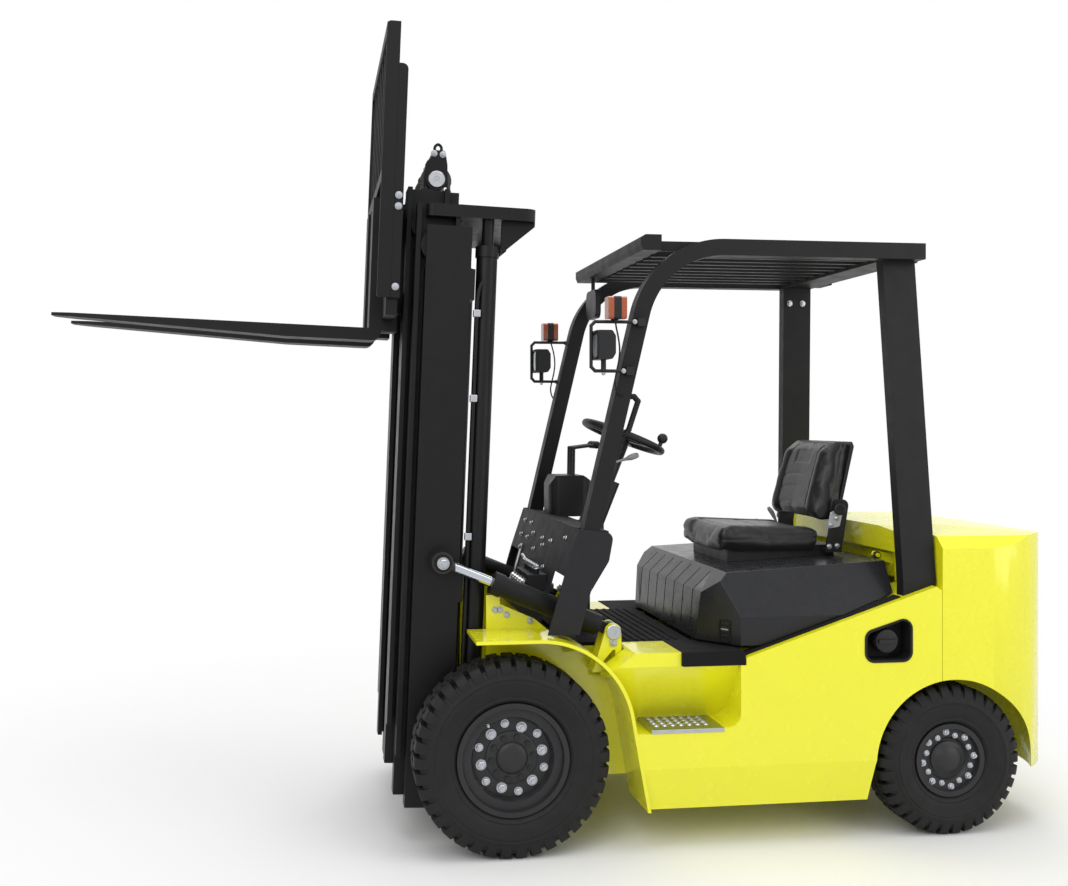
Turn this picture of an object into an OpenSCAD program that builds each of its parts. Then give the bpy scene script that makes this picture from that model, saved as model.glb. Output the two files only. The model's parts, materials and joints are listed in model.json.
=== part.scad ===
// Counterbalance forklift truck with a three-stage mast, an overhead guard and pneumatic tyres.
// Forward is -X, the truck's right side is +Y, up is +Z, and the wheels stand on Z = 0.
// Lengths are measured from the front axle; one shift then centres the whole truck on the origin.

/* [Wheels] */
// Distance between the front and the rear axle
wheelbase = 1600; // [1500:10:1750]
// Outer diameter of a front tyre, at its lug tips
front_tyre_d = 676; // [640:2:700]
// Width of a front tyre
front_tyre_w = 190; // [170:2:196]
// Distance between the middles of the front tyres
front_track = 970; // [960:2:990]
// Diameter of a front rim's flange
front_rim_d = 388; // [360:2:400]
// Outer diameter of a rear tyre, at its lug tips
rear_tyre_d = 540; // [520:2:560]
// Width of a rear tyre
rear_tyre_w = 160; // [150:2:166]
// Distance between the middles of the rear tyres
rear_track = 960; // [950:2:970]
// Diameter of a rear rim's flange
rear_rim_d = 262; // [250:2:280]
// Tread lugs round each shoulder of a front tyre
front_lugs = 38; // [20:1:48]
// Tread lugs round each shoulder of a rear tyre
rear_lugs = 34; // [20:1:44]
// Depth of the grooves between the lugs
lug_depth = 20; // [8:1:26]
// Distance from the kingpin to the middle of a rear tyre
kingpin_offset = 130; // [126:1:136]
// Radius of the round pocket in which a rear wheel steers
pocket_r = 372; // [362:1:380]
// Radius of the front axle's tube
axle_tube_r = 75; // [60:1:80]

/* [Body] */
// Half of the width over the side panels
body_half_w = 575; // [570:1:590]
// Lower edge of the side panels above the floor
body_bottom_z = 143; // [120:1:180]
// Height of the step above the floor
step_z = 426; // [400:1:450]
// Height of the floor plate
floor_z = 690; // [680:1:700]
// Inner face of the frame's long walls
frame_wall_y = 340; // [337:1:342]
// Thickness of the frame's plates
frame_t = 10; // [8:1:12]
// Overhang of the counterweight behind the rear axle
rear_overhang = 480; // [450:5:560]
// Top of the counterweight
cw_top_z = 1096; // [1060:2:1120]
// Radius of the counterweight's rear corners
cw_corner_r = 330; // [250:5:360]
// Height of the fenders' flat top
fender_top_z = 747; // [730:1:760]
// Thickness of the fender plate
fender_t = 12; // [6:1:16]

/* [Hood and seat] */
// Front face of the hood, behind the front axle
hood_front_x = 706; // [690:1:720]
// Distance from the hood's rear end to the rear axle
hood_to_axle = 188; // [186:1:220]
// Wall of the hood
hood_wall = 12; // [6:1:16]
// Top of the hood at its rear
hood_top_z = 978; // [960:1:985]
// Width of the seat cushion
seat_w = 470; // [420:5:500]
// Depth of the seat cushion
seat_depth = 400; // [360:5:420]

/* [Overhead guard] */
// Top of the roof
guard_top_z = 2135; // [2080:5:2200]
// Size of the front legs' square tube
guard_tube = 58; // [50:1:64]
// Middle of a front leg, out from the truck's middle
guard_half_y = 475; // [465:1:480]
// Backward lean of the front legs
guard_lean = 13.4; // [11:0.1:15]
// Middle radius of the bend from leg to roof
guard_bend_r = 310; // [260:5:340]
// Slats across the roof
guard_slats = 9; // [5:2:11]

/* [Mast] */
// Backward tilt at rest
mast_tilt = 2.3; // [0:0.1:4]
// Half of the width over the outer uprights
mast_half_w = 350; // [345:1:356]
// Depth of one upright section
upright_depth = 163; // [155:1:170]
// Rear face of the outer uprights, ahead of the mast's pivot
outer_back = 182; // [178:1:190]
// Forward step from one stage to the next
stage_step = 36; // [30:1:40]
// Thickness of the uprights' flanges
flange_t = 17; // [14:1:18]
// Thickness of the uprights' webs
web_t = 13; // [10:1:14]
// Length of the outer uprights
outer_len = 2070; // [1900:10:2200]
// Foot of the outer uprights below the mast's pivot
outer_foot = 231; // [200:1:260]
// Barrel radius of the two lift cylinders
lift_r = 38; // [32:1:42]

/* [Carriage and forks] */
// Length of a fork blade ahead of its shank
fork_len = 1117; // [900:5:1300]
// Width of a fork
fork_w = 120; // [100:2:124]
// Thickness of a fork's shank and heel
fork_t = 45; // [40:1:50]
// Distance from the truck's middle to the middle of each fork
fork_half_y = 170; // [160:1:200]
// Distance from the top of the inner uprights down to the fork blades
fork_drop = 516; // [510:1:700]
// Half of the width of the carriage
carriage_half_w = 440; // [436:2:500]
// Height of the load backrest above the fork blades
backrest_h = 1048; // [930:2:1200]

/* [Hidden] */

$fn = 64;
paint_yellow = "#f4ea18";
paint_black = "#26272a";
paint_grey = "#4a4b4f";
gloss_grey = "#3a3d42";
rubber_black = "#1d1d1f";
bare_steel = "#b9bcc2";
lens_amber = "#e08a1e";
lens_red = "#b3231d";

// Reach of a cut that runs right through or a little past
big = 4000;
past = 10;
// Clearances: of pieces that stay together, run in one another and pass one another
seat_gap = 0.3;
run_gap = 0.05;
move_gap = 6;

// Places that follow from the sizes
front_axle_z = front_tyre_d / 2;
rear_axle_z = rear_tyre_d / 2;
front_wheel_y = front_track / 2;
rear_wheel_y = rear_track / 2;
kingpin_y = rear_wheel_y - kingpin_offset;
frame_out_y = frame_wall_y + frame_t;
cw_rear_x = wheelbase + rear_overhang;
hood_rear_x = wheelbase - hood_to_axle;
guard_in_y = guard_half_y - guard_tube / 2;
guard_out_y = guard_half_y + guard_tube / 2;
panel_front_x = 479;
panel_rear_x = wheelbase - 49;
cw_front_x = panel_rear_x + 2;

// Mast sections, from the outer to the inner stage; x runs backward from the mast's pivot
roller_play = 4;
outer_x0 = -outer_back - upright_depth;
outer_x1 = -outer_back;
middle_x0 = outer_x0 - stage_step;
middle_x1 = middle_x0 + upright_depth - 5;
inner_x0 = middle_x0 - stage_step + 6;
inner_x1 = inner_x0 + upright_depth - 11;
flange_out = 48;
outer_web_y = mast_half_w - web_t;
outer_in_y = outer_web_y - flange_out;
middle_web_y = outer_in_y - move_gap - web_t;
inner_web_y = middle_web_y - flange_out - move_gap - web_t + 2;
outer_z0 = -outer_foot;
outer_z1 = outer_z0 + outer_len;
middle_z0 = outer_z0 + 25;
middle_z1 = outer_z1 + 80;
inner_z0 = middle_z0 + 94;
inner_z1 = middle_z1 + 68;
fork_top = inner_z1 - fork_drop;
backrest_top = fork_top + backrest_h;
shank_back = inner_x0 - 76;
shank_front = shank_back - fork_t;

// Shift that puts the truck's middle on the origin
fork_tip_t = 10;
fork_tip_x = shank_front - fork_len;
truck_front_x = fork_tip_x * cos(mast_tilt) + (fork_top - fork_tip_t) * sin(mast_tilt);
middle_x = (truck_front_x + cw_rear_x) / 2;

// Placing helpers
module placed() { translate([-middle_x, 0, 0]) children(); }
module mast_frame() { translate([0, 0, front_axle_z]) rotate([0, mast_tilt, 0]) children(); }
module on_side(side) { if (side > 0) children(); else mirror([0, 1, 0]) children(); }
module both_sides() { children(); mirror([0, 1, 0]) children(); }
// A side outline in X and Z, from y0 to y1
module side_plate(points, y0, y1) { side_form(y0, y1) polygon(points); }
// A side drawing in X and Z, from y0 to y1
module side_form(y0, y1) { translate([0, y1, 0]) rotate([90, 0, 0]) linear_extrude(y1 - y0) children(); }
// A front outline in Y and Z, from x0 to x1
module front_plate(points, x0, x1) {
    translate([x0, 0, 0]) rotate([90, 0, 90]) linear_extrude(x1 - x0) polygon(points);
}
// A box between two corners
module block(low, high) { translate(low) cube(high - low); }
// A round bar along Y, and one along X
module bar_y(x, z, r, y0, y1) { translate([x, y0, z]) rotate([-90, 0, 0]) cylinder(r = r, h = y1 - y0); }
module bar_x(x0, x1, y, z, r) { translate([x0, y, z]) rotate([0, 90, 0]) cylinder(r = r, h = x1 - x0); }
// A bent round rod through points
module rod(points, r) {
    for (i = [0 : len(points) - 2]) {
        run = points[i + 1] - points[i];
        translate(points[i]) rotate([0, acos(run[2] / norm(run)), atan2(run[1], run[0])])
            cylinder(r = r, h = norm(run), $fn = 24);
    }
    for (i = [1 : len(points) - 2]) translate(points[i]) sphere(r = r * 1.06, $fn = 24);
}
// A rectangle given by its corners
module rect(x0, y0, x1, y1) { translate([x0, y0]) square([x1 - x0, y1 - y0]); }
// Points of an arc in a plane
function arc(cx, cy, r, a0, a1, n) =
    [for (i = [0 : n]) let (a = a0 + (a1 - a0) * i / n) [cx + r * cos(a), cy + r * sin(a)]];
// Points of the round that replaces corner b between a and c
function corner_arc(a, b, c, r, n = 5) = let (
    u = (a - b) / norm(a - b),
    v = (c - b) / norm(c - b),
    half = acos(u * v) / 2,
    middle = b + (u + v) / norm(u + v) * r / sin(half),
    start = b + u * r / tan(half) - middle,
    turn = (cross(u, v) > 0 ? -1 : 1) * (180 - 2 * half),
    a0 = atan2(start[1], start[0])
) arc(middle[0], middle[1], r, a0, a0 + turn, n);
// An outline with its corners rounded by one radius, or by a list of radii
function rounded(points, radii) = let (n = len(points)) [for (i = [0 : n - 1])
    let (r = is_list(radii) ? radii[i] : radii)
    each (r > 0 ? corner_arc(points[(i + n - 1) % n], points[i], points[(i + 1) % n], r) : [points[i]])];

// Fender: a flat top, an arc and a straight rear that meets the side panel
fender_arc_x = 90;
fender_arc_r = 335;
fender_arc_z = fender_top_z - fender_arc_r;
fender_front_x = -130;
fender_out_y = body_half_w + 5;
fender_reach = norm([panel_front_x - fender_arc_x, body_bottom_z - fender_arc_z]);
fender_tangent_a = atan2(body_bottom_z - fender_arc_z, panel_front_x - fender_arc_x)
    + acos(fender_arc_r / fender_reach);

// Frame
floor_t = 12;
floor_front_x = 250;
wall_top_z = floor_z - floor_t;
frame_front_x = -60;
upright_rear_x = -10;
upright_top_z = 865;
upright_lip = 30;
brace_x = 115;
brace_z = 780;
saddle_z = front_axle_z + axle_tube_r;
saddle_h = 57;
saddle_half_x = 60;
saddle_t = 20;
saddle_lip = 8;
saddle_rear_x = 140;
belly_z = 210;
belly_front_x = 220;
bay_front_x = hood_front_x + 30;
bay_z = 600;
bay_rear_x = wheelbase - 300;
rear_rise_x = wheelbase - 200;
frame_rear_x = cw_front_x - seat_gap;
frame_rear_top = 800;
rear_wall_h = 140;
spine_half_w = 90;
spine_x0 = wheelbase - 160;
spine_x1 = wheelbase - 115;
spine_over = 25;
pivot_z = 390;
pivot_r = 35;
engine_x0 = hood_front_x + 114;
engine_x1 = wheelbase - 365;
engine_half_w = 230;
engine_top_z = 780;

// Tilt cylinder's rear lug, and the pin on the mast
tilt_y = 398;
tilt_lug_x = 383;
tilt_lug_z = 742;
tilt_pin_x = -250;
tilt_pin_z = 646;
tilt_pin_r = 20;
ear_in = 26;
ear_t = 12;
ear_r = 30;
ear_base_z = 600;
ear_foot = 75;
ear_out_y = tilt_y + ear_in + ear_t;

module wheel_pocket() {
    translate([wheelbase, kingpin_y, rear_axle_z]) sphere(r = pocket_r, $fn = 96);
    translate([wheelbase, kingpin_y, -past]) cylinder(r = pocket_r, h = rear_axle_z + past, $fn = 96);
}

module chassis_frame() {
    wall = [[frame_front_x, saddle_z + saddle_lip], [frame_front_x, upright_top_z],
        [upright_rear_x, upright_top_z], [upright_rear_x, upright_top_z - upright_lip], [brace_x, brace_z],
        [floor_front_x - past, wall_top_z], [bay_front_x, wall_top_z], [bay_front_x, bay_z],
        [bay_rear_x, bay_z], [rear_rise_x, frame_rear_top], [frame_rear_x, frame_rear_top],
        [frame_rear_x, belly_z], [belly_front_x, belly_z], [saddle_rear_x, saddle_z + saddle_lip]];
    color(paint_yellow) placed() {
        difference() {
            union() {
                both_sides() side_plate(wall, frame_wall_y, frame_out_y);
                both_sides() block([-saddle_half_x, frame_wall_y - saddle_t, saddle_z + seat_gap],
                    [saddle_half_x, frame_wall_y, saddle_z + saddle_h]);
                block([belly_front_x, -frame_wall_y, belly_z],
                    [spine_x1 - saddle_half_x, frame_wall_y, belly_z + frame_t]);
                block([belly_front_x, -frame_wall_y, belly_z],
                    [belly_front_x + frame_t, frame_wall_y, wall_top_z]);
                block([frame_rear_x - frame_t, -frame_wall_y, frame_rear_top - rear_wall_h],
                    [frame_rear_x, frame_wall_y, frame_rear_top]);
                both_sides() tilt_ears();
            }
            both_sides() wheel_pocket();
        }
        difference() {
            block([engine_x1 + move_gap, -spine_half_w, belly_z],
                [spine_x1, spine_half_w, pivot_z + pivot_r + spine_over]);
            bar_x(spine_x0, big, 0, pivot_z, pivot_r + run_gap);
        }
    }
}

// Ears for the rear pin of a tilt cylinder, each with an opening in its web
module tilt_ears() {
    ear = [[tilt_lug_x - ear_foot, ear_base_z], [tilt_lug_x - ear_r, tilt_lug_z],
        [tilt_lug_x + ear_r, tilt_lug_z],
        [tilt_lug_x + ear_r, ear_base_z]];
    opening = [[tilt_lug_x - ear_r - 12, ear_base_z + 32], [tilt_lug_x + 8, ear_base_z + 88],
        [tilt_lug_x + 8, ear_base_z + 32]];
    for (y = [tilt_y - ear_in - ear_t, tilt_y + ear_in]) difference() {
        union() {
            side_plate(ear, y, y + ear_t);
            bar_y(tilt_lug_x, tilt_lug_z, ear_r, y, y + ear_t);
        }
        bar_y(tilt_lug_x, tilt_lug_z, tilt_pin_r + run_gap, y - 1, y + ear_t + 1);
        side_plate(rounded(opening, 6), y - 1, y + ear_t + 1);
    }
    block([tilt_lug_x - ear_foot, frame_wall_y, ear_base_z], [tilt_lug_x + ear_r, ear_out_y,
        ear_base_z + ear_t]);
}
// Room for the ears in the panel and the fender
module ear_room() {
    block([tilt_lug_x - ear_foot - 5, 0, ear_base_z - past], [tilt_lug_x + ear_r + past, ear_out_y + move_gap,
        big]);
}

// Side panel with a crease low down, a sloping step well and the filler's recess on the left
panel_rear_z = 885;
panel_diag_x0 = hood_front_x + 116;
panel_diag_z0 = 666;
panel_diag_x1 = wheelbase - 70;
panel_diag_z1 = 900;
diag_slope = (panel_diag_z1 - panel_diag_z0) / (panel_diag_x1 - panel_diag_x0);
function panel_top(x) = panel_diag_z0 + (x - panel_diag_x0) * diag_slope;
function panel_top_x(z) = panel_diag_x0 + (z - panel_diag_z0) / diag_slope;
panel_in_y = frame_out_y + seat_gap;
crease_z = 290;
crease_in = 30;
trim_x0 = 592;
trim_x1 = panel_diag_x0 - 2;
trim_z0 = 640;
step_rear_x = 742;
step_t = 14;
step_in_y = frame_out_y + 50;
well_rear_x = trim_x1 - 18;
well_round = 46;
well_lip = 15;
filler_x = panel_rear_x - 203;
filler_z = 718;
filler_half_w = 85;
filler_half_h = 78;
filler_round = 30;
filler_depth = 70;
filler_neck_r = 34;

module panel_form() {
    top = floor_z - 2;
    outline = concat([[panel_front_x + 1, body_bottom_z], [panel_rear_x, body_bottom_z],
        [panel_rear_x, panel_rear_z], [panel_diag_x1, panel_diag_z1], [panel_diag_x0, panel_diag_z0],
        [panel_diag_x0, trim_z0], [trim_x0, trim_z0], [trim_x0, top], [panel_front_x - 49, top]],
        arc(fender_arc_x, fender_arc_z, fender_arc_r + seat_gap, 40, fender_tangent_a, 8));
    profile = [[panel_in_y, body_bottom_z], [body_half_w - crease_in, body_bottom_z],
        [body_half_w, crease_z], [body_half_w, cw_top_z], [panel_in_y, cw_top_z]];
    intersection() {
        side_plate(outline, 0, big);
        front_plate(profile, -big, big);
    }
}

// The step well: its inner wall slopes from the step up to the panel's edge
module step_well() {
    wall = [[step_in_y, step_z], [big, step_z], [big, floor_z + past],
        [body_half_w - well_lip, floor_z + past],
        [body_half_w - well_lip, trim_z0]];
    side = rounded([[0, step_z - 1], [well_rear_x, step_z - 1], [well_rear_x, floor_z + past],
        [0, floor_z + past]],
        [0, well_round, 0, 0]);
    intersection() {
        front_plate(wall, 0, big);
        side_plate(side, 0, big);
    }
    block([0, step_in_y, step_z - step_t], [step_rear_x, big, step_z + 2]);
}

// The filler's recess along the panel's slope, with the tank's neck left standing
module filler_recess() {
    outline = rounded([[filler_x - filler_half_w, filler_z - filler_half_h],
        [filler_x + filler_half_w, filler_z - filler_half_h],
        [filler_x + filler_half_w, filler_z + filler_half_h],
        [filler_x - filler_half_w, filler_z + filler_half_h - 2 * filler_half_w * diag_slope]], filler_round);
    difference() {
        side_plate(outline, body_half_w - filler_depth, body_half_w + past);
        bar_y(filler_x, filler_z - past, filler_neck_r, 0, body_half_w - filler_depth / 3);
    }
}

module side_panel(side) {
    color(paint_yellow) placed() on_side(side) difference() {
        panel_form();
        step_well();
        wheel_pocket();
        if (side < 0) filler_recess();
        ear_room();
    }
}

gusset_t = 10;
gusset_h = 50;
module fender(side) {
    outer_arc = arc(fender_arc_x, fender_arc_z, fender_arc_r, 90, fender_tangent_a, 24);
    inner_arc = arc(fender_arc_x, fender_arc_z, fender_arc_r - fender_t, fender_tangent_a, 90, 24);
    outline = concat([[fender_front_x, fender_top_z]], outer_arc, [[panel_front_x, body_bottom_z],
        [panel_front_x - fender_t, body_bottom_z]], inner_arc, [[fender_front_x, fender_top_z - fender_t]]);
    color(paint_yellow) placed() on_side(side) difference() {
        union() {
            side_plate(outline, panel_in_y, fender_out_y);
            for (a = [88, 62, 36]) gusset(a);
        }
        block([frame_front_x - past, 0, fender_top_z - 1], [brace_x + 1, frame_out_y + 1, big]);
        ear_room();
    }
}
// Three-cornered gusset under the fender, at an angle round its arc
module gusset(a) {
    top = fender_arc_r - fender_t / 2;
    translate([fender_arc_x, 0, fender_arc_z]) rotate([0, 90 - a, 0])
        front_plate([[panel_in_y, top], [fender_out_y - 40, top], [panel_in_y, top - gusset_h]],
            -gusset_t / 2, gusset_t / 2);
}

hole_r = 8;
hole_pitch = 30;
step_edge = 32;
module steps() {
    x0 = panel_front_x + 2;
    x1 = step_rear_x - 1;
    y1 = body_half_w + 3;
    columns = floor((x1 - x0 - 2 * step_edge) / hole_pitch);
    rows = floor((y1 - step_in_y - 2 * step_edge) / hole_pitch);
    color(bare_steel) placed() both_sides() difference() {
        block([x0, step_in_y + seat_gap, step_z - step_t + seat_gap], [x1, y1, step_z]);
        for (i = [0 : columns], j = [0 : rows])
            translate([x0 + step_edge + i * hole_pitch, step_in_y + step_edge + j * hole_pitch, 0])
                cylinder(r = hole_r, h = big, $fn = 24);
    }
}

// Rubber floor mat with its ribs, and the black trim under each edge of the hood
mat_rib = 4;
module floor_plate() {
    x1 = hood_front_x - past;
    ribs = floor((x1 - floor_front_x) / 30);
    color(rubber_black) placed() {
        block([floor_front_x, -frame_out_y, wall_top_z + seat_gap], [x1, frame_out_y, floor_z]);
        for (i = [6 : ribs - 1]) block([floor_front_x + i * 30, -frame_out_y + past, floor_z - 1],
            [floor_front_x + i * 30 + 12, frame_out_y - past, floor_z + mat_rib]);
        both_sides() side_plate(rounded([[trim_x0 + seat_gap, trim_z0 + seat_gap],
            [trim_x1, trim_z0 + seat_gap],
            [trim_x1, floor_z], [trim_x0 + seat_gap, floor_z]], [4, 4, 12, 4]), panel_in_y, body_half_w - 2);
    }
}

// Cowl: the inclined dash plate, the firewall below it and two side plates
cowl_top = [243, 1115];
cowl_rear = [366, 1100];
cowl_mid = [189, 952];
cowl_low = [129, 743];
cowl_plate_t = 6;
cowl_side_t = 6;
cowl_half_w = guard_out_y + cowl_side_t;
module cowl() {
    side = rounded([cowl_top, cowl_rear, [348, 1002], [283, 897], [240, 735], cowl_low, cowl_mid],
        [12, 26, 30, 30, 0, 0, 0]);
    skew = [cowl_plate_t, -2];
    dash = [cowl_mid, cowl_top, cowl_top + skew, cowl_mid + skew];
    wall = [cowl_low, cowl_mid, cowl_mid + skew, cowl_low + skew];
    top = [cowl_top, cowl_rear, cowl_rear - [0, cowl_plate_t], cowl_top - [0, cowl_plate_t]];
    in_y = cowl_half_w - cowl_side_t;
    color(paint_grey) placed() {
        both_sides() difference() {
            side_plate(side, in_y, cowl_half_w);
            block([-big, 0, 0], [big, big, fender_top_z + 1]);
        }
        side_plate(dash, -in_y, in_y);
        side_plate(wall, -frame_wall_y, frame_wall_y);
        side_plate(top, -guard_in_y + move_gap, guard_in_y - move_gap);
    }
}

// Steering wheel, its lean and its column
wheel_x = 544;
wheel_z = 1428;
wheel_r = 172;
wheel_lean = 22;
wheel_grip_r = 14;
wheel_hub_r = 30;
column_r = 32;
column_len = 360;
hub_drop = 29;

// Lever box on the dash with three bent levers, the column in its casing, and the pedals
lever_box_x0 = 290;
lever_box_x1 = 470;
lever_box_y0 = 180;
lever_box_y1 = 340;
lever_box_top = 1268;
lever_x = 395;
lever_pitch = 45;
lever_r = 6;
lever_rise = 112;
lever_reach = 96;
lever_knob_r = 16;
pedal_x = 380;
pedal_h = 130;
pedal_w = 60;
module control_pedestal() {
    plan = rounded([[lever_box_x0, lever_box_y0], [lever_box_x1, lever_box_y0], [lever_box_x1, lever_box_y1],
        [lever_box_x0, lever_box_y1]], 42);
    seat_line = cowl_rear[1] + seat_gap + 0.1;
    box_foot = cowl_top[1] + 0.5 - (cowl_top[1] - cowl_rear[1])
        * (lever_box_x0 - cowl_top[0]) / (cowl_rear[0] - cowl_top[0]);
    side = [[lever_box_x0, box_foot],
        [cowl_rear[0], seat_line], [lever_box_x1, seat_line], [lever_box_x1, lever_box_top - 26],
        [lever_box_x1 - 40, lever_box_top], [lever_box_x0 + 26, lever_box_top],
        [lever_box_x0, lever_box_top - 40]];
    color(paint_black) placed() {
        intersection() {
            linear_extrude(big) polygon(plan);
            side_plate(side, 0, big);
        }
        for (i = [0 : 2]) {
            y = lever_box_y0 + 35 + i * lever_pitch;
            top = [lever_x + 2, y, lever_box_top + lever_rise];
            rod([[lever_x, y, lever_box_top - past], top, top + [lever_reach, 0, 12]], lever_r);
            translate(top + [lever_reach, 0, 12]) sphere(r = lever_knob_r, $fn = 32);
        }
        translate([wheel_x, 0, wheel_z]) rotate([0, wheel_lean, 0]) {
            translate([0, 0, -column_len - hub_drop - seat_gap]) cylinder(r = column_r, h = column_len);
            translate([0, 0, -column_len - hub_drop]) linear_extrude(column_len - 150)
                polygon(rounded([[-34, -52], [46, -52], [46, 52], [-34, 52]], 18));
        }
        block([cowl_rear[0] + 4, -60, 1040], [cowl_rear[0] + 84, 60, cowl_rear[1] - 2]);
        for (y = [-120, 40, 160]) translate([pedal_x, y, floor_z + seat_gap]) rotate([0, -25, 0])
            block([0, 0, 0], [12, pedal_w, pedal_h]);
        block([cowl_rear[0] - 36, -40, floor_z + seat_gap], [cowl_rear[0] + 34, 40, 1060]);
    }
}

module steering_wheel() {
    spoke_t = 12;
    grip = wheel_r - wheel_grip_r;
    color(rubber_black) placed() translate([wheel_x, 0, wheel_z]) rotate([0, wheel_lean, 0]) {
        rotate_extrude() translate([grip, 0]) circle(r = wheel_grip_r, $fn = 32);
        translate([0, 0, -hub_drop]) cylinder(r = wheel_hub_r, h = hub_drop + 11);
        for (a = [60, 180, 300]) rotate([0, 0, a]) translate([wheel_hub_r - past, -spoke_t, -spoke_t])
            cube([grip - wheel_hub_r + past, 2 * spoke_t, spoke_t]);
        rotate([0, 0, -40]) translate([grip, 0, wheel_grip_r / 2]) {
            cylinder(r = 8, h = 30);
            translate([0, 0, 36]) sphere(r = 20, $fn = 32);
        }
    }
}

// Counterweight: rounded in plan, bevelled on top, open at the engine bay and round the wheels
cw_bottom_z = 225;
cw_shoulder_z = 1035;
cw_bevel = 40;
cw_top_half = 300;
cw_slope_x = wheelbase + 100;
cw_nose_x = wheelbase - 150;
cw_bay_x = wheelbase - 100;
cw_bay_half = 430;
cw_seat_z = panel_diag_z1 + 5;
grille_half_w = 190;
grille_z0 = 640;
grille_h = 300;
grille_depth = 120;
lift_hole_x = wheelbase;
lift_hole_y = 250;
lift_hole_r = 22;
lift_hole_depth = 60;
tow_pin_r = 15;
tow_x = cw_rear_x - 90;
tow_z0 = 300;
tow_head_z = 430;
tow_half_w = 45;
pivot_len = 175;

// Hood hinge
hinge_x = wheelbase - 160;
hinge_z = 985;
hinge_r = 14;
hinge_pin_r = 8;
hinge_y = 312;
hinge_t = 12;

module counterweight() {
    outline = [[cw_front_x, cw_bottom_z], [cw_rear_x - 24, cw_bottom_z], [cw_rear_x, cw_bottom_z + 60],
        [cw_rear_x, cw_top_z - 66], [cw_rear_x - 14, cw_top_z - 36], [cw_rear_x - 60, cw_top_z - 20],
            [cw_slope_x, cw_top_z],
        [cw_nose_x, cw_top_z], [cw_nose_x, cw_seat_z], [cw_front_x, cw_seat_z]];
    profile = [[body_half_w, cw_bottom_z], [body_half_w, cw_shoulder_z],
        [body_half_w - cw_bevel, cw_shoulder_z + cw_bevel],
        [cw_top_half, cw_top_z + 1], [-cw_top_half, cw_top_z + 1],
            [-body_half_w + cw_bevel, cw_shoulder_z + cw_bevel],
        [-body_half_w, cw_shoulder_z], [-body_half_w, cw_bottom_z]];
    color(paint_yellow) placed() difference() {
        intersection() {
            side_plate(outline, -big, big);
            front_plate(profile, 0, big);
            translate([0, 0, -past]) linear_extrude(big) union() {
                rect(hinge_x - big / 10, -body_half_w, cw_rear_x - cw_corner_r, body_half_w);
                rect(cw_front_x, -body_half_w + cw_corner_r, cw_rear_x, body_half_w - cw_corner_r);
                for (s = [-1, 1]) translate([cw_rear_x - cw_corner_r, s * (body_half_w - cw_corner_r)])
                    circle(r = cw_corner_r, $fn = 128);
            }
        }
        both_sides() wheel_pocket();
        block([panel_rear_x, -kingpin_y, 0], [wheelbase + 130, kingpin_y, pivot_z + pivot_r + spine_over]);
        both_sides() block([cw_nose_x - past, leg_foot_y0 - 57, panel_diag_z1 - past],
            [cw_front_x, big, big]);
        block([cw_nose_x - past, -cw_bay_half, 0], [cw_bay_x, cw_bay_half, hood_top_z + 30]);
        bar_x(wheelbase, wheelbase + pivot_len + 15, 0, pivot_z, pivot_r + run_gap);
        block([cw_rear_x - grille_depth, -grille_half_w, grille_z0],
            [cw_rear_x + past, grille_half_w, grille_z0 + grille_h]);
        tow_jaw();
        both_sides() translate([lift_hole_x, lift_hole_y, cw_top_z - lift_hole_depth])
            cylinder(r = lift_hole_r, h = big);
    }
    color(paint_yellow) placed() difference() {
        block([wheelbase + 135, -spine_half_w, pivot_z - pivot_r - spine_over],
            [cw_rear_x - 200, spine_half_w, pivot_z + pivot_r + spine_over + past]);
        bar_x(wheelbase, wheelbase + pivot_len + 15, 0, pivot_z, pivot_r + run_gap);
    }
    color(paint_yellow) placed() both_sides() {
        side_plate([[cw_bay_x + 1, hinge_z - 35], [cw_bay_x + 1, hinge_z + 5], [hinge_x, hinge_z + hinge_r],
            [hinge_x, hinge_z - hinge_r]], hinge_y - hinge_t, hinge_y);
        bar_y(hinge_x, hinge_z, hinge_r, hinge_y - hinge_t, hinge_y);
        bar_y(hinge_x, hinge_z, hinge_pin_r, hinge_y - 1, hinge_y + hinge_t + move_gap);
    }
}

// Tow jaw: a slot for the hook, a slot for the pin's head and the pin's bore
module tow_jaw() {
    x0 = tow_x - 40;
    translate([tow_x, 0, tow_z0]) cylinder(r = tow_pin_r + run_gap, h = tow_head_z - tow_z0 + 1);
    block([x0, -tow_half_w, tow_z0 + 45], [cw_rear_x + past, tow_half_w, tow_z0 + 105]);
    block([x0, -tow_half_w, tow_head_z], [cw_rear_x + past, tow_half_w, tow_head_z + 70]);
}

module tow_pin() {
    head_h = 16;
    color(bare_steel) placed() translate([tow_x, 0, 0]) {
        translate([0, 0, tow_z0 + seat_gap]) cylinder(r = tow_pin_r, h = tow_head_z - tow_z0 + 30);
        translate([0, 0, tow_head_z + seat_gap]) cylinder(r = tow_pin_r + 8, h = head_h);
        bar_y(0, tow_head_z + 38, tow_pin_r / 2, -tow_half_w + 11, tow_half_w - 11);
    }
}

slat_pitch = 42;
slat_t = 12;
module rear_grille() {
    x0 = cw_rear_x - grille_depth + past;
    slats = floor((grille_h - 20) / slat_pitch);
    color(rubber_black) placed() {
        for (i = [0 : slats]) side_plate([[x0, grille_z0 + 32 + i * slat_pitch],
            [x0, grille_z0 + 20 + i * slat_pitch],
            [x0 + 60, grille_z0 + 6 + i * slat_pitch], [x0 + 60, grille_z0 + 18 + i * slat_pitch]],
            -grille_half_w + seat_gap, grille_half_w - seat_gap);
        for (y = [-100, 0, 100]) block([x0, y - 5, grille_z0 + seat_gap],
            [x0 + 20, y + 5, grille_z0 + grille_h - seat_gap]);
    }
}

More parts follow.
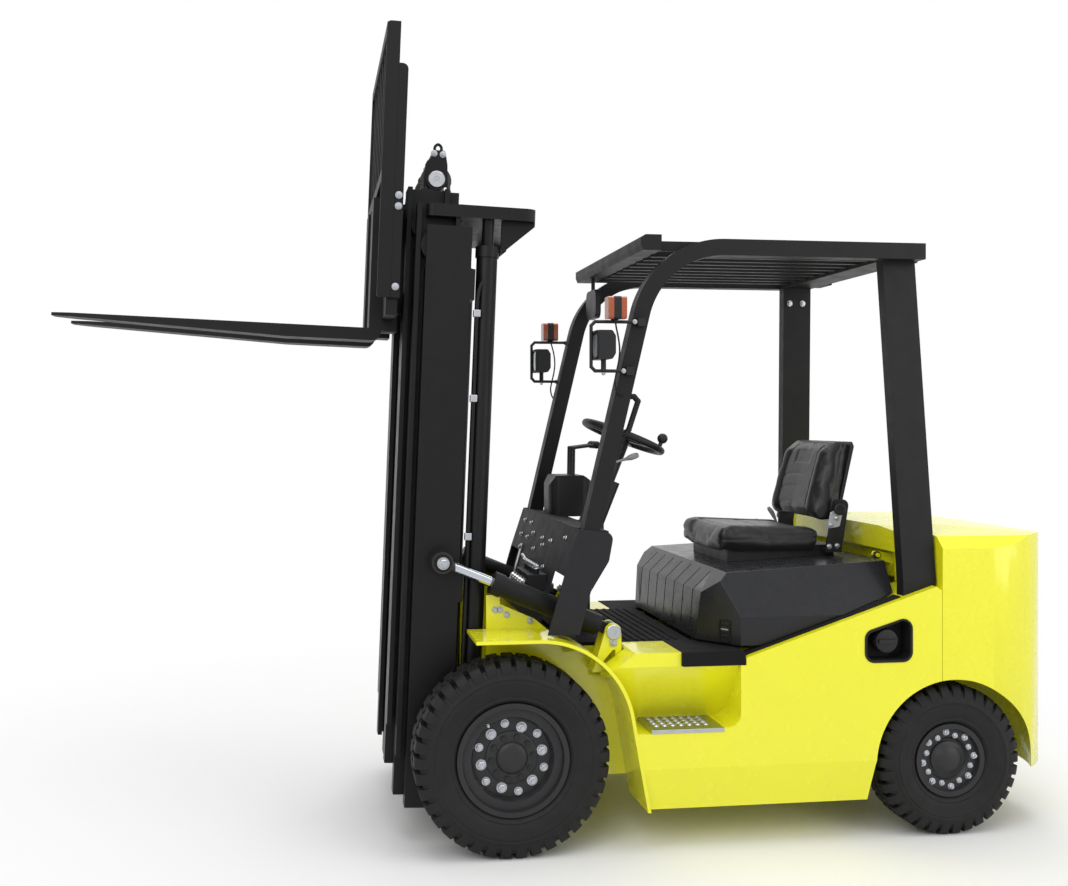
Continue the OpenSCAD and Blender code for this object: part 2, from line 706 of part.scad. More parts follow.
module engine_block() {
    color(paint_grey) placed() block([engine_x0, -engine_half_w, belly_z + frame_t],
        [engine_x1, engine_half_w, engine_top_z]);
}

// Hood with its bevelled corners; w insets every wall
hood_low_z = floor_z + move_gap + 1;
hood_half_w = body_half_w - 50;
hood_nose = 116;
hood_brow_x = 94;
hood_brow_z = 946;
hood_face_z = 870;
groove_w = 5;
groove_depth = 3;
module hood_form(w) {
    side = [[hood_front_x + w, hood_low_z], [hood_front_x + 14 + w, hood_face_z - w / 2],
        [hood_front_x + hood_brow_x + w, hood_brow_z - w], [hood_rear_x - w, hood_top_z - w],
        [hood_rear_x - w, panel_top(hood_rear_x) + move_gap], [panel_top_x(hood_low_z - move_gap),
            hood_low_z]];
    foot = hood_half_w + 15 - w;
    eave = hood_half_w + 10 - w;
    ridge = hood_half_w - 105 - w;
    front = [[-foot, bay_z], [-eave, engine_top_z], [-ridge, hood_top_z + 12 - w],
        [ridge, hood_top_z + 12 - w],
        [eave, engine_top_z], [foot, bay_z]];
    nose_half = hood_half_w - 145 - w / 2;
    plan = [[hood_front_x + w, -nose_half], [hood_front_x + hood_nose + w, -hood_half_w + w],
        [hood_rear_x - w, -hood_half_w + w],
        [hood_rear_x - w, hood_half_w - w], [hood_front_x + hood_nose + w, hood_half_w - w],
            [hood_front_x + w, nose_half]];
    intersection() {
        side_plate(side, -big, big);
        front_plate(front, 0, big);
        linear_extrude(big) polygon(plan);
    }
}

module hood() {
    groove_ys = [for (i = [-3 : 3]) i * 105];
    color(gloss_grey) placed() difference() {
        hood_form(0);
        hood_form(hood_wall);
        translate([0, 0, -hood_wall]) hood_form(hood_wall);
        translate([-hood_wall / 2, 0, -2 * hood_wall]) hood_form(hood_wall);
        for (y = groove_ys) intersection() {
            block([hood_front_x - past, y, hood_low_z + 30], [hood_front_x + hood_brow_x, y + groove_w,
                hood_brow_z - 12]);
            difference() {
                block([hood_front_x - past, y - 1, bay_z], [hood_front_x + hood_brow_x + past,
                    y + groove_w + 1, hood_top_z]);
                translate([groove_depth, 0, -groove_depth]) hood_form(0);
            }
        }
    }
    color(gloss_grey) placed() both_sides() difference() {
        union() {
            side_plate([[hood_rear_x - 5, hinge_z - 80], [hood_rear_x - 5, hinge_z - 20],
                [hinge_x, hinge_z + hinge_r],
                [hinge_x, hinge_z - hinge_r]], hinge_y + seat_gap, hinge_y + hinge_t);
            bar_y(hinge_x, hinge_z, hinge_r, hinge_y + seat_gap, hinge_y + hinge_t);
        }
        bar_y(hinge_x, hinge_z, hinge_pin_r + run_gap, hinge_y, hinge_y + hinge_t + 1);
    }
}

// Seat: a base with side brackets, the cushion and the back
seat_x0 = hood_rear_x - 542;
seat_back_w = 450;
seat_base_z = hood_top_z + 2;
seat_base_h = 32;
seat_base_half = 190;
cushion_z = seat_base_z + seat_base_h + seat_gap;
cushion_h = 78;
bracket_t = 11;
bracket_x0 = hood_rear_x - 136;
bracket_x1 = hood_rear_x - 72;
bracket_top = 1190;
bracket_lean = 32;
module seat_base() {
    out_y = seat_back_w / 2 + bracket_t;
    side = rounded([[bracket_x0, seat_base_z + 10], [bracket_x1, seat_base_z + 10],
        [bracket_x1 + bracket_lean, bracket_top],
        [bracket_x0 + bracket_lean + 2, bracket_top]], [0, 14, 24, 24]);
    color(paint_black) placed() {
        difference() {
            block([seat_x0 + 30, -seat_base_half, hood_brow_z - 16],
                [hood_rear_x - 82, seat_base_half, seat_base_z + seat_base_h]);
            hood_form(-seat_gap);
        }
        both_sides() side_plate(side, seat_back_w / 2 + seat_gap, out_y);
        both_sides() block([bracket_x0, seat_base_half - past, seat_base_z + 8],
            [bracket_x1, out_y, seat_base_z + 20]);
    }
}

module seat_cushion() {
    outline = [[seat_x0 - 20, cushion_z], [seat_x0 + seat_depth, cushion_z],
        [seat_x0 + seat_depth, cushion_z + cushion_h - 18],
        [seat_x0 + 20, cushion_z + cushion_h], [seat_x0 - 20, cushion_z + cushion_h - 12]];
    color(rubber_black) placed() side_plate(rounded(outline, [28, 10, 10, 60, 24]), -seat_w / 2, seat_w / 2);
}

module seat_back() {
    foot_z = cushion_z + cushion_h + move_gap;
    outline = [[hood_rear_x - 180, foot_z + 40], [hood_rear_x - 168, foot_z], [hood_rear_x - 67, foot_z + 6],
        [hood_rear_x - 1, foot_z + 306], [hood_rear_x - 14, foot_z + 330], [hood_rear_x - 77, foot_z + 330],
            [hood_rear_x - 112, foot_z + 282]];
    color(rubber_black) placed() side_plate(rounded(outline, [20, 10, 14, 12, 12, 16, 40]), -seat_back_w / 2,
        seat_back_w / 2);
}

// Overhead guard: bent front legs with side rails, slats, a rear beam and sloping rear legs
guard_roof_mid = guard_top_z - guard_tube / 2;
guard_bend_x = 770;
guard_bend_z = guard_roof_mid - guard_bend_r;
guard_rail_x1 = wheelbase - 70;
guard_foot_z = 742;
leg_top = [guard_bend_x - guard_bend_r * cos(guard_lean), guard_bend_z + guard_bend_r * sin(guard_lean)];
// Middle of a front leg at a height
function leg_x(z) = leg_top[0] - (leg_top[1] - z) * tan(guard_lean);
front_bar_x0 = 470;
front_bar_x1 = 546;
rear_beam_x0 = wheelbase - 210;
rear_beam_x1 = wheelbase - 75;
leg_depth = 125;
leg_t = 46;
leg_foot_x = wheelbase - 179;
leg_foot_y0 = body_half_w - 78;
leg_top_y0 = guard_half_y - 68;
handle_r = 10;
module guard_side() {
    r0 = guard_bend_r - guard_tube / 2;
    r1 = guard_bend_r + guard_tube / 2;
    a1 = 180 - guard_lean;
    leg_len = (leg_top[1] - guard_foot_z) / cos(guard_lean);
    foot = leg_top - leg_len * [sin(guard_lean), cos(guard_lean)];
    across = guard_tube / 2 * [cos(guard_lean), -sin(guard_lean)];
    polygon(concat([[guard_rail_x1, guard_top_z]], arc(guard_bend_x, guard_bend_z, r1, 90, a1, 24),
        [foot - across, foot + across], arc(guard_bend_x, guard_bend_z, r0, a1, 90, 24),
        [[guard_rail_x1, guard_top_z - guard_tube]]));
}

module rear_leg() {
    foot_z = panel_diag_z1 + 12;
    foot_x1 = leg_foot_x + leg_depth;
    roof_z = guard_top_z - guard_tube;
    foot = [[leg_foot_x, panel_top(leg_foot_x) + seat_gap], [panel_diag_x1, panel_diag_z1 + seat_gap],
        [foot_x1, panel_diag_z1 + seat_gap], [foot_x1, foot_z], [leg_foot_x, foot_z]];
    side_plate(foot, leg_foot_y0, leg_foot_y0 + leg_t);
    hull() {
        block([leg_foot_x, leg_foot_y0, foot_z - 2], [foot_x1, leg_foot_y0 + leg_t, foot_z]);
        block([rear_beam_x0, leg_top_y0, roof_z], [rear_beam_x0 + leg_depth, leg_top_y0 + leg_t, roof_z + 4]);
    }
}

// Grab handle behind the left front leg
module grab_handle() {
    low = 1440;
    high = 1580;
    out = 62;
    rod([[leg_x(high), -guard_half_y, high], [leg_x(high) + out - 14, -guard_half_y, high - 4],
        [leg_x(high) + out, -guard_half_y, high - 20], [leg_x(low) + out, -guard_half_y, low + 20],
        [leg_x(low) + out - 14, -guard_half_y, low + 4], [leg_x(low), -guard_half_y, low]], handle_r);
}

module overhead_guard() {
    roof_z = guard_top_z - guard_tube;
    slat_pitch_y = 2 * guard_in_y / (guard_slats + 1);
    front_bar = [[front_bar_x0, guard_top_z - 24], [front_bar_x0 + 8, guard_top_z - 42],
        [front_bar_x1, guard_top_z - 42],
        [front_bar_x1, guard_top_z + 14], [front_bar_x0 + 18, guard_top_z + 14],
            [front_bar_x0, guard_top_z + 4]];
    color(paint_black) placed() {
        both_sides() side_form(guard_in_y, guard_out_y) guard_side();
        both_sides() rear_leg();
        side_plate(front_bar, -guard_out_y + 20, guard_out_y - 20);
        both_sides() block([front_bar_x1 - 1, guard_in_y + 6, guard_top_z - 42],
            [guard_bend_x - 60, guard_in_y + 14, guard_top_z - 6]);
        block([rear_beam_x0, -guard_in_y, roof_z], [rear_beam_x1, guard_in_y, guard_top_z - 8]);
        for (i = [1 : guard_slats]) translate([0, -guard_in_y + i * slat_pitch_y, 0])
            block([front_bar_x1 - 1, -12, guard_top_z - 48], [rear_beam_x0 + 1, 12, guard_top_z - 8]);
        grab_handle();
    }
}

// Head lamps in their bent rod loops beside the front legs, with the turn lamps on top
lamp_x = 325;
lamp_y = guard_out_y + 16;
lamp_z = 1753;
lamp_depth = 62;
lamp_half = 50;
loop_r = 6;
loop_x0 = 281;
loop_z0 = 1664;
loop_z1 = 1835;
loop_round = 14;
turn_x = 365;
turn_half_x = 33;
turn_half_y = 30;
turn_h = 80;
module head_lamps() {
    x0 = lamp_x - lamp_depth / 2;
    x1 = lamp_x + lamp_depth / 2;
    body = rounded([[x0, lamp_z - lamp_half], [x1 - 12, lamp_z - lamp_half], [x1, lamp_z - lamp_half + 20],
        [x1, lamp_z + lamp_half - 20], [x1 - 12, lamp_z + lamp_half], [x0, lamp_z + lamp_half]],
            [4, 10, 10, 10, 10, 4]);
    color(rubber_black) placed() both_sides() {
        difference() {
            side_plate(body, lamp_y - lamp_half, lamp_y + lamp_half);
            front_plate(rounded([[lamp_y - lamp_half + 7, lamp_z - lamp_half + 7],
                [lamp_y + lamp_half - 7, lamp_z - lamp_half + 7],
                [lamp_y + lamp_half - 7, lamp_z + lamp_half - 7],
                    [lamp_y - lamp_half + 7, lamp_z + lamp_half - 7]], 10), x0 - past, x0 + 9);
        }
        rod([[leg_x(loop_z1), lamp_y, loop_z1], [loop_x0 + loop_round, lamp_y, loop_z1],
            [loop_x0, lamp_y, loop_z1 - loop_round],
            [loop_x0, lamp_y, loop_z0 + loop_round], [loop_x0 + loop_round, lamp_y, loop_z0],
                [leg_x(loop_z0), lamp_y, loop_z0]], loop_r);
        for (z = [loop_z0, loop_z1]) block([leg_x(z) - 14, guard_out_y + seat_gap, z - 14],
            [leg_x(z) + 14, lamp_y + 8, z + 14]);
        translate([lamp_x, lamp_y, loop_z0]) cylinder(r = 9, h = lamp_z - lamp_half - loop_z0 + 1, $fn = 32);
    }
}

module turn_lamps() {
    z0 = loop_z1 + loop_r + seat_gap;
    outline = rounded([[turn_x - turn_half_x, z0], [turn_x + turn_half_x, z0],
        [turn_x + turn_half_x, z0 + turn_h],
        [turn_x - turn_half_x, z0 + turn_h]], 10);
    color(lens_amber) placed() both_sides() side_plate(outline, lamp_y - turn_half_y + 15,
        lamp_y + turn_half_y + 15);
}

mirror_x = 508;
mirror_y = 330;
mirror_half_w = 80;
mirror_h = 120;
module rear_mirror() {
    top = guard_top_z - 42 - seat_gap;
    z1 = top - 50;
    color(rubber_black) placed() {
        front_plate(rounded([[mirror_y - mirror_half_w, z1 - mirror_h],
            [mirror_y + mirror_half_w, z1 - mirror_h],
            [mirror_y + mirror_half_w, z1], [mirror_y - mirror_half_w, z1]], 30), mirror_x - 10,
                mirror_x + 10);
        translate([mirror_x, mirror_y, z1 - 20]) cylinder(r = 8, h = top - z1 + 20, $fn = 32);
    }
}

module tail_lamps() {
    color(lens_red) placed() both_sides() block([rear_beam_x1 + seat_gap, guard_in_y - 156,
        guard_top_z - guard_tube + 6],
        [rear_beam_x1 + 28, guard_in_y - 46, guard_top_z - 14]);
}

// Front axle: its tube, the two hubs and the round drive housing
hub_r = 45;
hub_end = 50;
housing_r = 130;
housing_half = 110;
module drive_axle() {
    color(paint_black) placed() {
        bar_y(0, front_axle_z, axle_tube_r, -frame_out_y - 14, frame_out_y + 14);
        bar_y(0, front_axle_z, hub_r, -front_wheel_y - hub_end, front_wheel_y + hub_end);
        bar_y(0, front_axle_z, housing_r, -housing_half, housing_half);
    }
}

// One wheel's rim as a turned shape: a hub, a dished disc and two flanges
flange_in = 12;
flange_w = 10;
rim_lip = 14;
disc_face = 40;
disc_t = 22;
hub_wall = 34;
hub_in = 60;
module rim(d, w, bore) {
    r = d / 2;
    edge = w / 2 - flange_in;
    well = r - rim_lip;
    back = disc_face - disc_t;
    profile = [[bore, -hub_in], [bore, disc_face - 10], [bore + hub_wall, disc_face], [r - 60, disc_face],
        [r - 50, edge - 16],
        [r - 22, edge - 16], [r - 18, edge], [r, edge], [r, edge - flange_w], [well, edge - 22],
            [well, -edge + 22],
        [r, -edge + flange_w], [r, -edge], [r - 18, -edge], [r - 30, -edge + 28], [r - 36, back],
            [bore + 40, back], [bore + 30, -hub_in]];
    rotate([90, 0, 0]) rotate_extrude($fn = 96) polygon(profile);
}

// One tyre: a turned casing with two staggered rows of lugs cut into its shoulders
groove_share = 0.36;
lug_reach = 0.34;
module tyre(d, w, rim_d, lugs) {
    r = d / 2;
    bead = rim_d / 2 - rim_lip + seat_gap;
    flank = [[bead, w / 2 - 36], [bead + 18, w / 2 - 20], [bead + 30, w / 2 - 6], [(r + bead) / 2 + 6, w / 2],
        [r - 24, w / 2 - 8], [r, w / 2 - 26]];
    other_flank = [for (i = [len(flank) - 1 : -1 : 0]) [flank[i][0], -flank[i][1]]];
    pitch = 360 / lugs;
    groove = groove_share * PI * d / lugs;
    reach = lug_reach * w;
    rotate([90, 0, 0]) difference() {
        rotate_extrude($fn = 96) polygon(concat(flank, other_flank));
        for (i = [0 : lugs - 1], s = [0, 1]) rotate([0, 0, (i + s / 2) * pitch])
            translate([r - lug_depth, -groove / 2, s == 0 ? w / 2 - reach : -w / 2 - past])
                cube([lug_depth + past, groove, reach + past]);
    }
}

module front_rim(side) {
    color(paint_grey) placed() on_side(side) translate([0, front_wheel_y, front_axle_z]) mirror([0, 1, 0])
        rim(front_rim_d, front_tyre_w, hub_r + run_gap);
}
module front_tyre(side) {
    color(rubber_black) placed() on_side(side) translate([0, front_wheel_y, front_axle_z])
        tyre(front_tyre_d, front_tyre_w, front_rim_d, front_lugs);
}

// Rear axle: two plates and a box, the steering cylinder behind, the pivot bar on top
yoke_r = 42;
boss_r = 38;
axle_plate_t = 20;
axle_half_h = 60;
axle_half_x = 60;
axle_box_y = 230;
yoke_len = 60;
kingpin_r = 18;
spindle_r = 30;
spindle_end = 46;
steer_cyl_x = wheelbase + 90;
steer_cyl_r = 32;
steer_cyl_half = 150;
steer_rod_r = 15;
arm_t = 20;
arm_r = 22;
arm_z0 = rear_axle_z + 12;
link_z = arm_z0 + arm_t + seat_gap;
link_t = 14;
link_r = 16;
arm_x = wheelbase + 80;
arm_y = kingpin_y - 40;
module axle_plate() {
    linear_extrude(axle_plate_t) {
        rect(wheelbase - axle_half_x, -kingpin_y + yoke_len, wheelbase + axle_half_x, kingpin_y - yoke_len);
        for (s = [-1, 1]) hull() {
            translate([wheelbase, s * kingpin_y]) circle(r = yoke_r, $fn = 48);
            translate([wheelbase - axle_half_x, s * (kingpin_y - yoke_len - 2)]) square([2 * axle_half_x, 2]);
        }
    }
}
module steer_axle() {
    low_z = rear_axle_z - axle_half_h;
    high_z = rear_axle_z + axle_half_h;
    color(paint_black) placed() difference() {
        union() {
            for (z = [low_z - axle_plate_t, high_z]) translate([0, 0, z]) axle_plate();
            block([wheelbase - axle_half_x + 5, -axle_box_y, low_z - 1],
                [wheelbase + axle_half_x - 5, axle_box_y, high_z + 1]);
            bar_y(steer_cyl_x, rear_axle_z, steer_cyl_r, -steer_cyl_half, steer_cyl_half);
            both_sides() block([wheelbase + axle_half_x - 6, steer_cyl_half - 40, low_z],
                [steer_cyl_x, steer_cyl_half - 10, high_z]);
            block([wheelbase - 55, -spine_half_w + 30, high_z], [wheelbase + 55, spine_half_w - 30, pivot_z]);
            bar_x(spine_x0 + 2, wheelbase + pivot_len, 0, pivot_z, pivot_r);
        }
        bar_y(steer_cyl_x, rear_axle_z, steer_rod_r + run_gap, -kingpin_y, kingpin_y);
        both_sides() translate([wheelbase, kingpin_y, 0]) cylinder(r = kingpin_r + run_gap, h = big);
    }
}

module steer_rod() {
    lug_y = kingpin_y - 82;
    lug_half = 12;
    color(bare_steel) placed() {
        bar_y(steer_cyl_x, rear_axle_z, steer_rod_r, -lug_y, lug_y);
        both_sides() {
            block([steer_cyl_x - link_r, lug_y - lug_half, rear_axle_z - steer_rod_r],
                [steer_cyl_x + link_r, lug_y + lug_half, link_z + link_t]);
            hull() {
                translate([steer_cyl_x, lug_y, link_z]) cylinder(r = link_r, h = link_t, $fn = 32);
                translate([arm_x, arm_y, link_z]) cylinder(r = link_r, h = link_t, $fn = 32);
            }
        }
    }
}

module knuckle(side) {
    h = axle_half_h - seat_gap;
    color(paint_grey) placed() on_side(side) {
        translate([wheelbase, kingpin_y, rear_axle_z - h]) cylinder(r = boss_r, h = 2 * h);
        translate([wheelbase, kingpin_y, rear_axle_z - h - axle_plate_t])
            cylinder(r = kingpin_r, h = 2 * (h + axle_plate_t));
        bar_y(wheelbase, rear_axle_z, spindle_r, kingpin_y, rear_wheel_y + spindle_end);
        hull() {
            translate([wheelbase, kingpin_y, arm_z0]) cylinder(r = arm_r, h = arm_t, $fn = 32);
            translate([arm_x, arm_y, arm_z0]) cylinder(r = link_r + 2, h = arm_t, $fn = 32);
        }
    }
}

module rear_rim(side) {
    color(paint_grey) placed() on_side(side) translate([wheelbase, rear_wheel_y, rear_axle_z])
        mirror([0, 1, 0])
        rim(rear_rim_d, rear_tyre_w, spindle_r + run_gap);
}
module rear_tyre(side) {
    color(rubber_black) placed() on_side(side) translate([wheelbase, rear_wheel_y, rear_axle_z])
        tyre(rear_tyre_d, rear_tyre_w, rear_rim_d, rear_lugs);
}

// Tilt cylinders, along the line from the frame's ears to the mast's pins
tilt_eye_gap = 4;
tilt_barrel_r = 38;
tilt_rod_r = 18;
tilt_eye_half = 20.5;
tilt_eye_r = 38;
tilt_free = 190;
tilt_neck = 60;
tilt_end_r = 28;
gland_len = 40;
tilt_pin_world = [tilt_pin_x * cos(mast_tilt) + tilt_pin_z * sin(mast_tilt),
    front_axle_z - tilt_pin_x * sin(mast_tilt) + tilt_pin_z * cos(mast_tilt)];
tilt_span = norm(tilt_pin_world - [tilt_lug_x, tilt_lug_z]);
tilt_angle = atan2(tilt_pin_world[1] - tilt_lug_z, tilt_lug_x - tilt_pin_world[0]);
tilt_barrel_len = tilt_span - tilt_free;
// Puts children along the cylinder: +X runs from the rear pin towards the mast
module tilt_line(side) {
    on_side(side) translate([tilt_lug_x, tilt_y, tilt_lug_z]) rotate([0, tilt_angle, 0]) mirror([1, 0, 0])
        children();
}
module tilt_barrel(side) {
    color(paint_black) placed() tilt_line(side) difference() {
        union() {
            bar_y(0, 0, tilt_end_r, -ear_in + 0.5, ear_in - 0.5);
            bar_y(0, 0, tilt_pin_r, -ear_in - ear_t, ear_in + ear_t + move_gap);
            block([0, -tilt_pin_r, -tilt_pin_r], [tilt_neck, tilt_pin_r, tilt_pin_r]);
            bar_x(tilt_neck - past, tilt_barrel_len, 0, 0, tilt_barrel_r);
            bar_x(tilt_barrel_len - gland_len, tilt_barrel_len - 1, 0, 0, tilt_barrel_r + 4);
        }
        bar_x(tilt_neck, big, 0, 0, tilt_rod_r + run_gap);
    }
}
module tilt_rod(side) {
    color(bare_steel) placed() tilt_line(side) difference() {
        union() {
            bar_x(tilt_barrel_len - 160, tilt_span - 30, 0, 0, tilt_rod_r);
            bar_y(tilt_span, 0, tilt_eye_r, -tilt_eye_half, tilt_eye_half);
        }
        bar_y(tilt_span, 0, tilt_pin_r + tilt_eye_gap, -big, big);
    }
}

// Uprights: x0 to x1 section depth, web at y, flanges outward and inward
module section(x0, x1, web_y, out_w, in_w) {
    rect(x0, web_y, x1, web_y + web_t);
    for (x = [x0, x1 - flange_t]) {
        if (out_w > 0) rect(x, web_y, x + flange_t, web_y + web_t + out_w);
        if (in_w > 0) rect(x, web_y - in_w, x + flange_t, web_y + web_t);
    }
}
// A length of upright
module upright(z0, z1) { translate([0, 0, z0]) linear_extrude(z1 - z0) children(); }
// A cross plate between the two uprights
module tie(x0, x1, z0, z1, half) { block([x0, -half, z0], [x1, half, z1]); }

tie_t = 16;
tie_h = 110;
roller_end = 150;
roller_in = 70;
foot_y0 = 200;
foot_y1 = 250;
foot_ring = 28;
middle_roller_r = (middle_x1 - middle_x0) / 2 - flange_t - seat_gap;
outer_roller_r = upright_depth / 2 - flange_t - seat_gap;
roller_x = (inner_x0 + inner_x1) / 2;
roller_r = (inner_x1 - inner_x0) / 2 - flange_t - seat_gap;
lift_x = outer_x1 + lift_r + 26;
lift_y = 295;
lift_rod_r = 22;
lift_collar = 5;
lift_rod_z0 = 250;
lift_top = outer_z1 - 60;
lift_seat_z = outer_z0 + 60;
top_plate_t = 45;
top_plate_z0 = middle_z1 - top_plate_t;
top_plate_x1 = 52;
top_plate_inset = 10;
web_plate_h = 119;
low_tie_top = 130;
outer_tie_zs = [outer_z1 - 1339, outer_z1 - 260];
middle_tie_zs = [middle_z0 + roller_end, middle_z1 - 1219];
inner_tie_zs = [inner_z0, inner_z1 - 1337, inner_z1 - 90];

module outer_mast() {
    color(paint_black) placed() mast_frame() {
        both_sides() {
            upright(outer_z0, outer_z1 - roller_end) section(outer_x0, outer_x1, outer_web_y, 0, flange_out);
            upright(outer_z0, outer_z1) rect(outer_x0, outer_web_y, outer_x1, mast_half_w);
            bar_y((middle_x0 + middle_x1) / 2, outer_z1 - roller_in, middle_roller_r,
                middle_web_y + web_t + roller_play, outer_web_y + 1);
            mast_foot();
            tilt_boss();
            block([outer_x1 - 20, lift_y - 20, lift_seat_z - 20], [lift_x + 20, lift_y + 20, lift_seat_z]);
        }
        tie(outer_x1 - 1, outer_x1 + tie_t, lift_seat_z - 20, low_tie_top, mast_half_w);
        for (z = outer_tie_zs) tie(outer_x1 - 1, outer_x1 + tie_t, z, z + tie_h, mast_half_w);
    }
}

// Bracket that turns on the front axle's tube
module mast_foot() {
    side_form(foot_y0, foot_y1) difference() {
        union() {
            circle(r = axle_tube_r + foot_ring, $fn = 96);
            polygon([[outer_x1 + 8, 110], [outer_x1 + 8, -150], [-40, -axle_tube_r - 16],
                [-20, axle_tube_r + 22]]);
        }
        circle(r = axle_tube_r + run_gap, $fn = 96);
    }
}

// Boss and pin for the rod of a tilt cylinder
module tilt_boss() {
    boss_r = 46;
    keeper = 25;
    bar_y(tilt_pin_x, tilt_pin_z, boss_r, mast_half_w - 2, tilt_y - keeper);
    bar_y(tilt_pin_x, tilt_pin_z, tilt_pin_r, mast_half_w, tilt_y + keeper);
    bar_y(tilt_pin_x, tilt_pin_z, tilt_pin_r + 10, tilt_y + keeper - 1, tilt_y + keeper + 7);
}

module lift_barrels() {
    color(paint_black) placed() mast_frame() both_sides() translate([lift_x, lift_y, 0]) difference() {
        union() {
            translate([0, 0, lift_seat_z + seat_gap]) cylinder(r = lift_r, h = lift_top - lift_seat_z);
            translate([0, 0, lift_top - gland_len]) cylinder(r = lift_r + lift_collar, h = gland_len - 1);
        }
        translate([0, 0, lift_rod_z0 - past]) cylinder(r = lift_rod_r + run_gap, h = big);
    }
}

module middle_mast() {
    stub_h = 100;
    stub_x = middle_x1 + 32;
    web_x = lift_x + lift_r + lift_collar + move_gap;
    plate_half = mast_half_w - top_plate_inset;
    plate = rounded([[outer_x0, -plate_half], [top_plate_x1, -plate_half], [top_plate_x1, plate_half],
        [outer_x0, plate_half]],
        [18, 36, 36, 18]);
    color(paint_black) placed() mast_frame() {
        both_sides() {
            upright(middle_z0 + roller_end, middle_z1 - roller_end)
                section(middle_x0, middle_x1, middle_web_y, flange_out, flange_out);
            upright(middle_z0, middle_z1) rect(middle_x0, middle_web_y, middle_x1, middle_web_y + web_t);
            upright(middle_z1 - roller_end - 1, middle_z1) section(middle_x0, middle_x1, middle_web_y,
                flange_out, 0);
            upright(middle_z0, middle_z0 + roller_end + 1) section(middle_x0, middle_x1, middle_web_y, 0,
                flange_out);
            bar_y((outer_x0 + outer_x1) / 2, middle_z0 + roller_in, outer_roller_r, middle_web_y + web_t - 1,
                outer_web_y - roller_play);
            bar_y(roller_x, middle_z1 - roller_in, roller_r, inner_web_y + web_t + roller_play,
                middle_web_y + 1);
            translate([lift_x, lift_y, lift_rod_z0]) cylinder(r = lift_rod_r,
                h = top_plate_z0 - lift_rod_z0 + 1);
            for (z = middle_tie_zs) block([middle_x1 - 1, middle_web_y - flange_out, z],
                [stub_x, middle_web_y, z + stub_h]);
            side_plate([[web_x, top_plate_z0 + 1], [web_x, top_plate_z0 - web_plate_h],
                [top_plate_x1, top_plate_z0 - 13], [top_plate_x1, top_plate_z0 + 1]], lift_y - 10,
                    lift_y + 10);
        }
        for (z = middle_tie_zs) tie(stub_x - tie_t, stub_x, z, z + stub_h, middle_web_y);
        translate([0, 0, top_plate_z0]) linear_extrude(top_plate_t) difference() {
            polygon(plate);
            rect(outer_x0 - past, -middle_web_y, middle_x1 + 14, middle_web_y);
        }
    }
}

module inner_mast() {
    stub_h = 90;
    stub_x = inner_x1 + 42;
    color(paint_black) placed() mast_frame() {
        both_sides() {
            upright(inner_z0 + roller_end, inner_z1) section(inner_x0, inner_x1, inner_web_y, flange_out - 2,
                flange_out);
            upright(inner_z0, inner_z0 + roller_end + 1) section(inner_x0, inner_x1, inner_web_y, 0,
                flange_out);
            bar_y((middle_x0 + middle_x1) / 2, inner_z0 + roller_in, middle_roller_r, inner_web_y + web_t - 1,
                middle_web_y - roller_play);
            for (z = inner_tie_zs) block([inner_x1 - 1, inner_web_y - flange_out, z],
                [stub_x, inner_web_y, z + stub_h]);
        }
        for (z = inner_tie_zs) tie(stub_x - tie_t + 2, stub_x, z, z + stub_h, inner_web_y);
        block([head_x - 46, -46, inner_z0], [inner_x1 + 30, 46, inner_z0 + barrel_seat]);
    }
}

// Free-lift cylinder, its chain head with two sheaves, and the two leaf chains over them
head_x = roller_x + 38;
head_z = inner_z1 + 57;
barrel_seat = 20;
free_barrel_r = 42;
free_rod_r = 22;
free_lift_travel = 850;
free_barrel_top = inner_z1 - free_lift_travel - 40;
sheave_r = 50;
sheave_y = 110;
sheave_half_w = 16;
chain_t = 18;
chain_w = 26;
link_pitch = 32;
head_half_y = sheave_y + 40;
cheek_y = sheave_y + sheave_half_w + 4;
cheek_t = 8;
boss_reach = 40;
clevis_z = free_barrel_top - 60;
clevis_t = 18;
module free_lift_barrel() {
    slot_y = chain_w / 2 + move_gap - 1;
    slot_x = chain_t / 2 + move_gap;
    color(paint_black) placed() mast_frame() difference() {
        union() {
            translate([head_x, 0, inner_z0 + barrel_seat + seat_gap])
                cylinder(r = free_barrel_r, h = free_barrel_top - inner_z0 - barrel_seat);
            block([head_x, -sheave_y - 21, clevis_z], [head_x + sheave_r + 33, sheave_y + 21,
                clevis_z + clevis_t]);
        }
        translate([head_x, 0, free_barrel_top - free_lift_travel - 100])
            cylinder(r = free_rod_r + run_gap, h = big);
        both_sides() block([head_x + sheave_r - slot_x, sheave_y - slot_y, clevis_z - 20],
            [head_x + sheave_r + slot_x, sheave_y + slot_y, free_barrel_top]);
    }
}

module free_lift_head() {
    beam_half = 26;
    cheek = rounded([[head_x - 44, head_z - 24], [head_x - 44, head_z + 58], [head_x - 22, head_z + 84],
        [head_x - 18, head_z + 112],
        [head_x + 30, head_z + 112], [head_x + 40, head_z + 60], [head_x + 44, head_z - 24]],
            [0, 16, 10, 8, 10, 20, 0]);
    color(paint_grey) placed() mast_frame() {
        translate([head_x, 0, free_barrel_top - 80]) cylinder(r = free_rod_r,
            h = head_z - free_barrel_top + 60);
        block([head_x - beam_half, -cheek_y - 1, head_z - 24],
            [head_x + beam_half, cheek_y + 1, head_z + 24]);
        both_sides() {
            bar_y(head_x, head_z, sheave_r - chain_t / 2 - seat_gap, sheave_y - sheave_half_w,
                sheave_y + sheave_half_w);
            side_plate(cheek, cheek_y, cheek_y + cheek_t);
            bar_y(head_x, head_z, boss_reach, cheek_y + cheek_t - 1, head_half_y);
        }
        block([head_x - 18, -cheek_y - 1, head_z + 92], [head_x + 22, cheek_y + 1, head_z + 108]);
    }
}

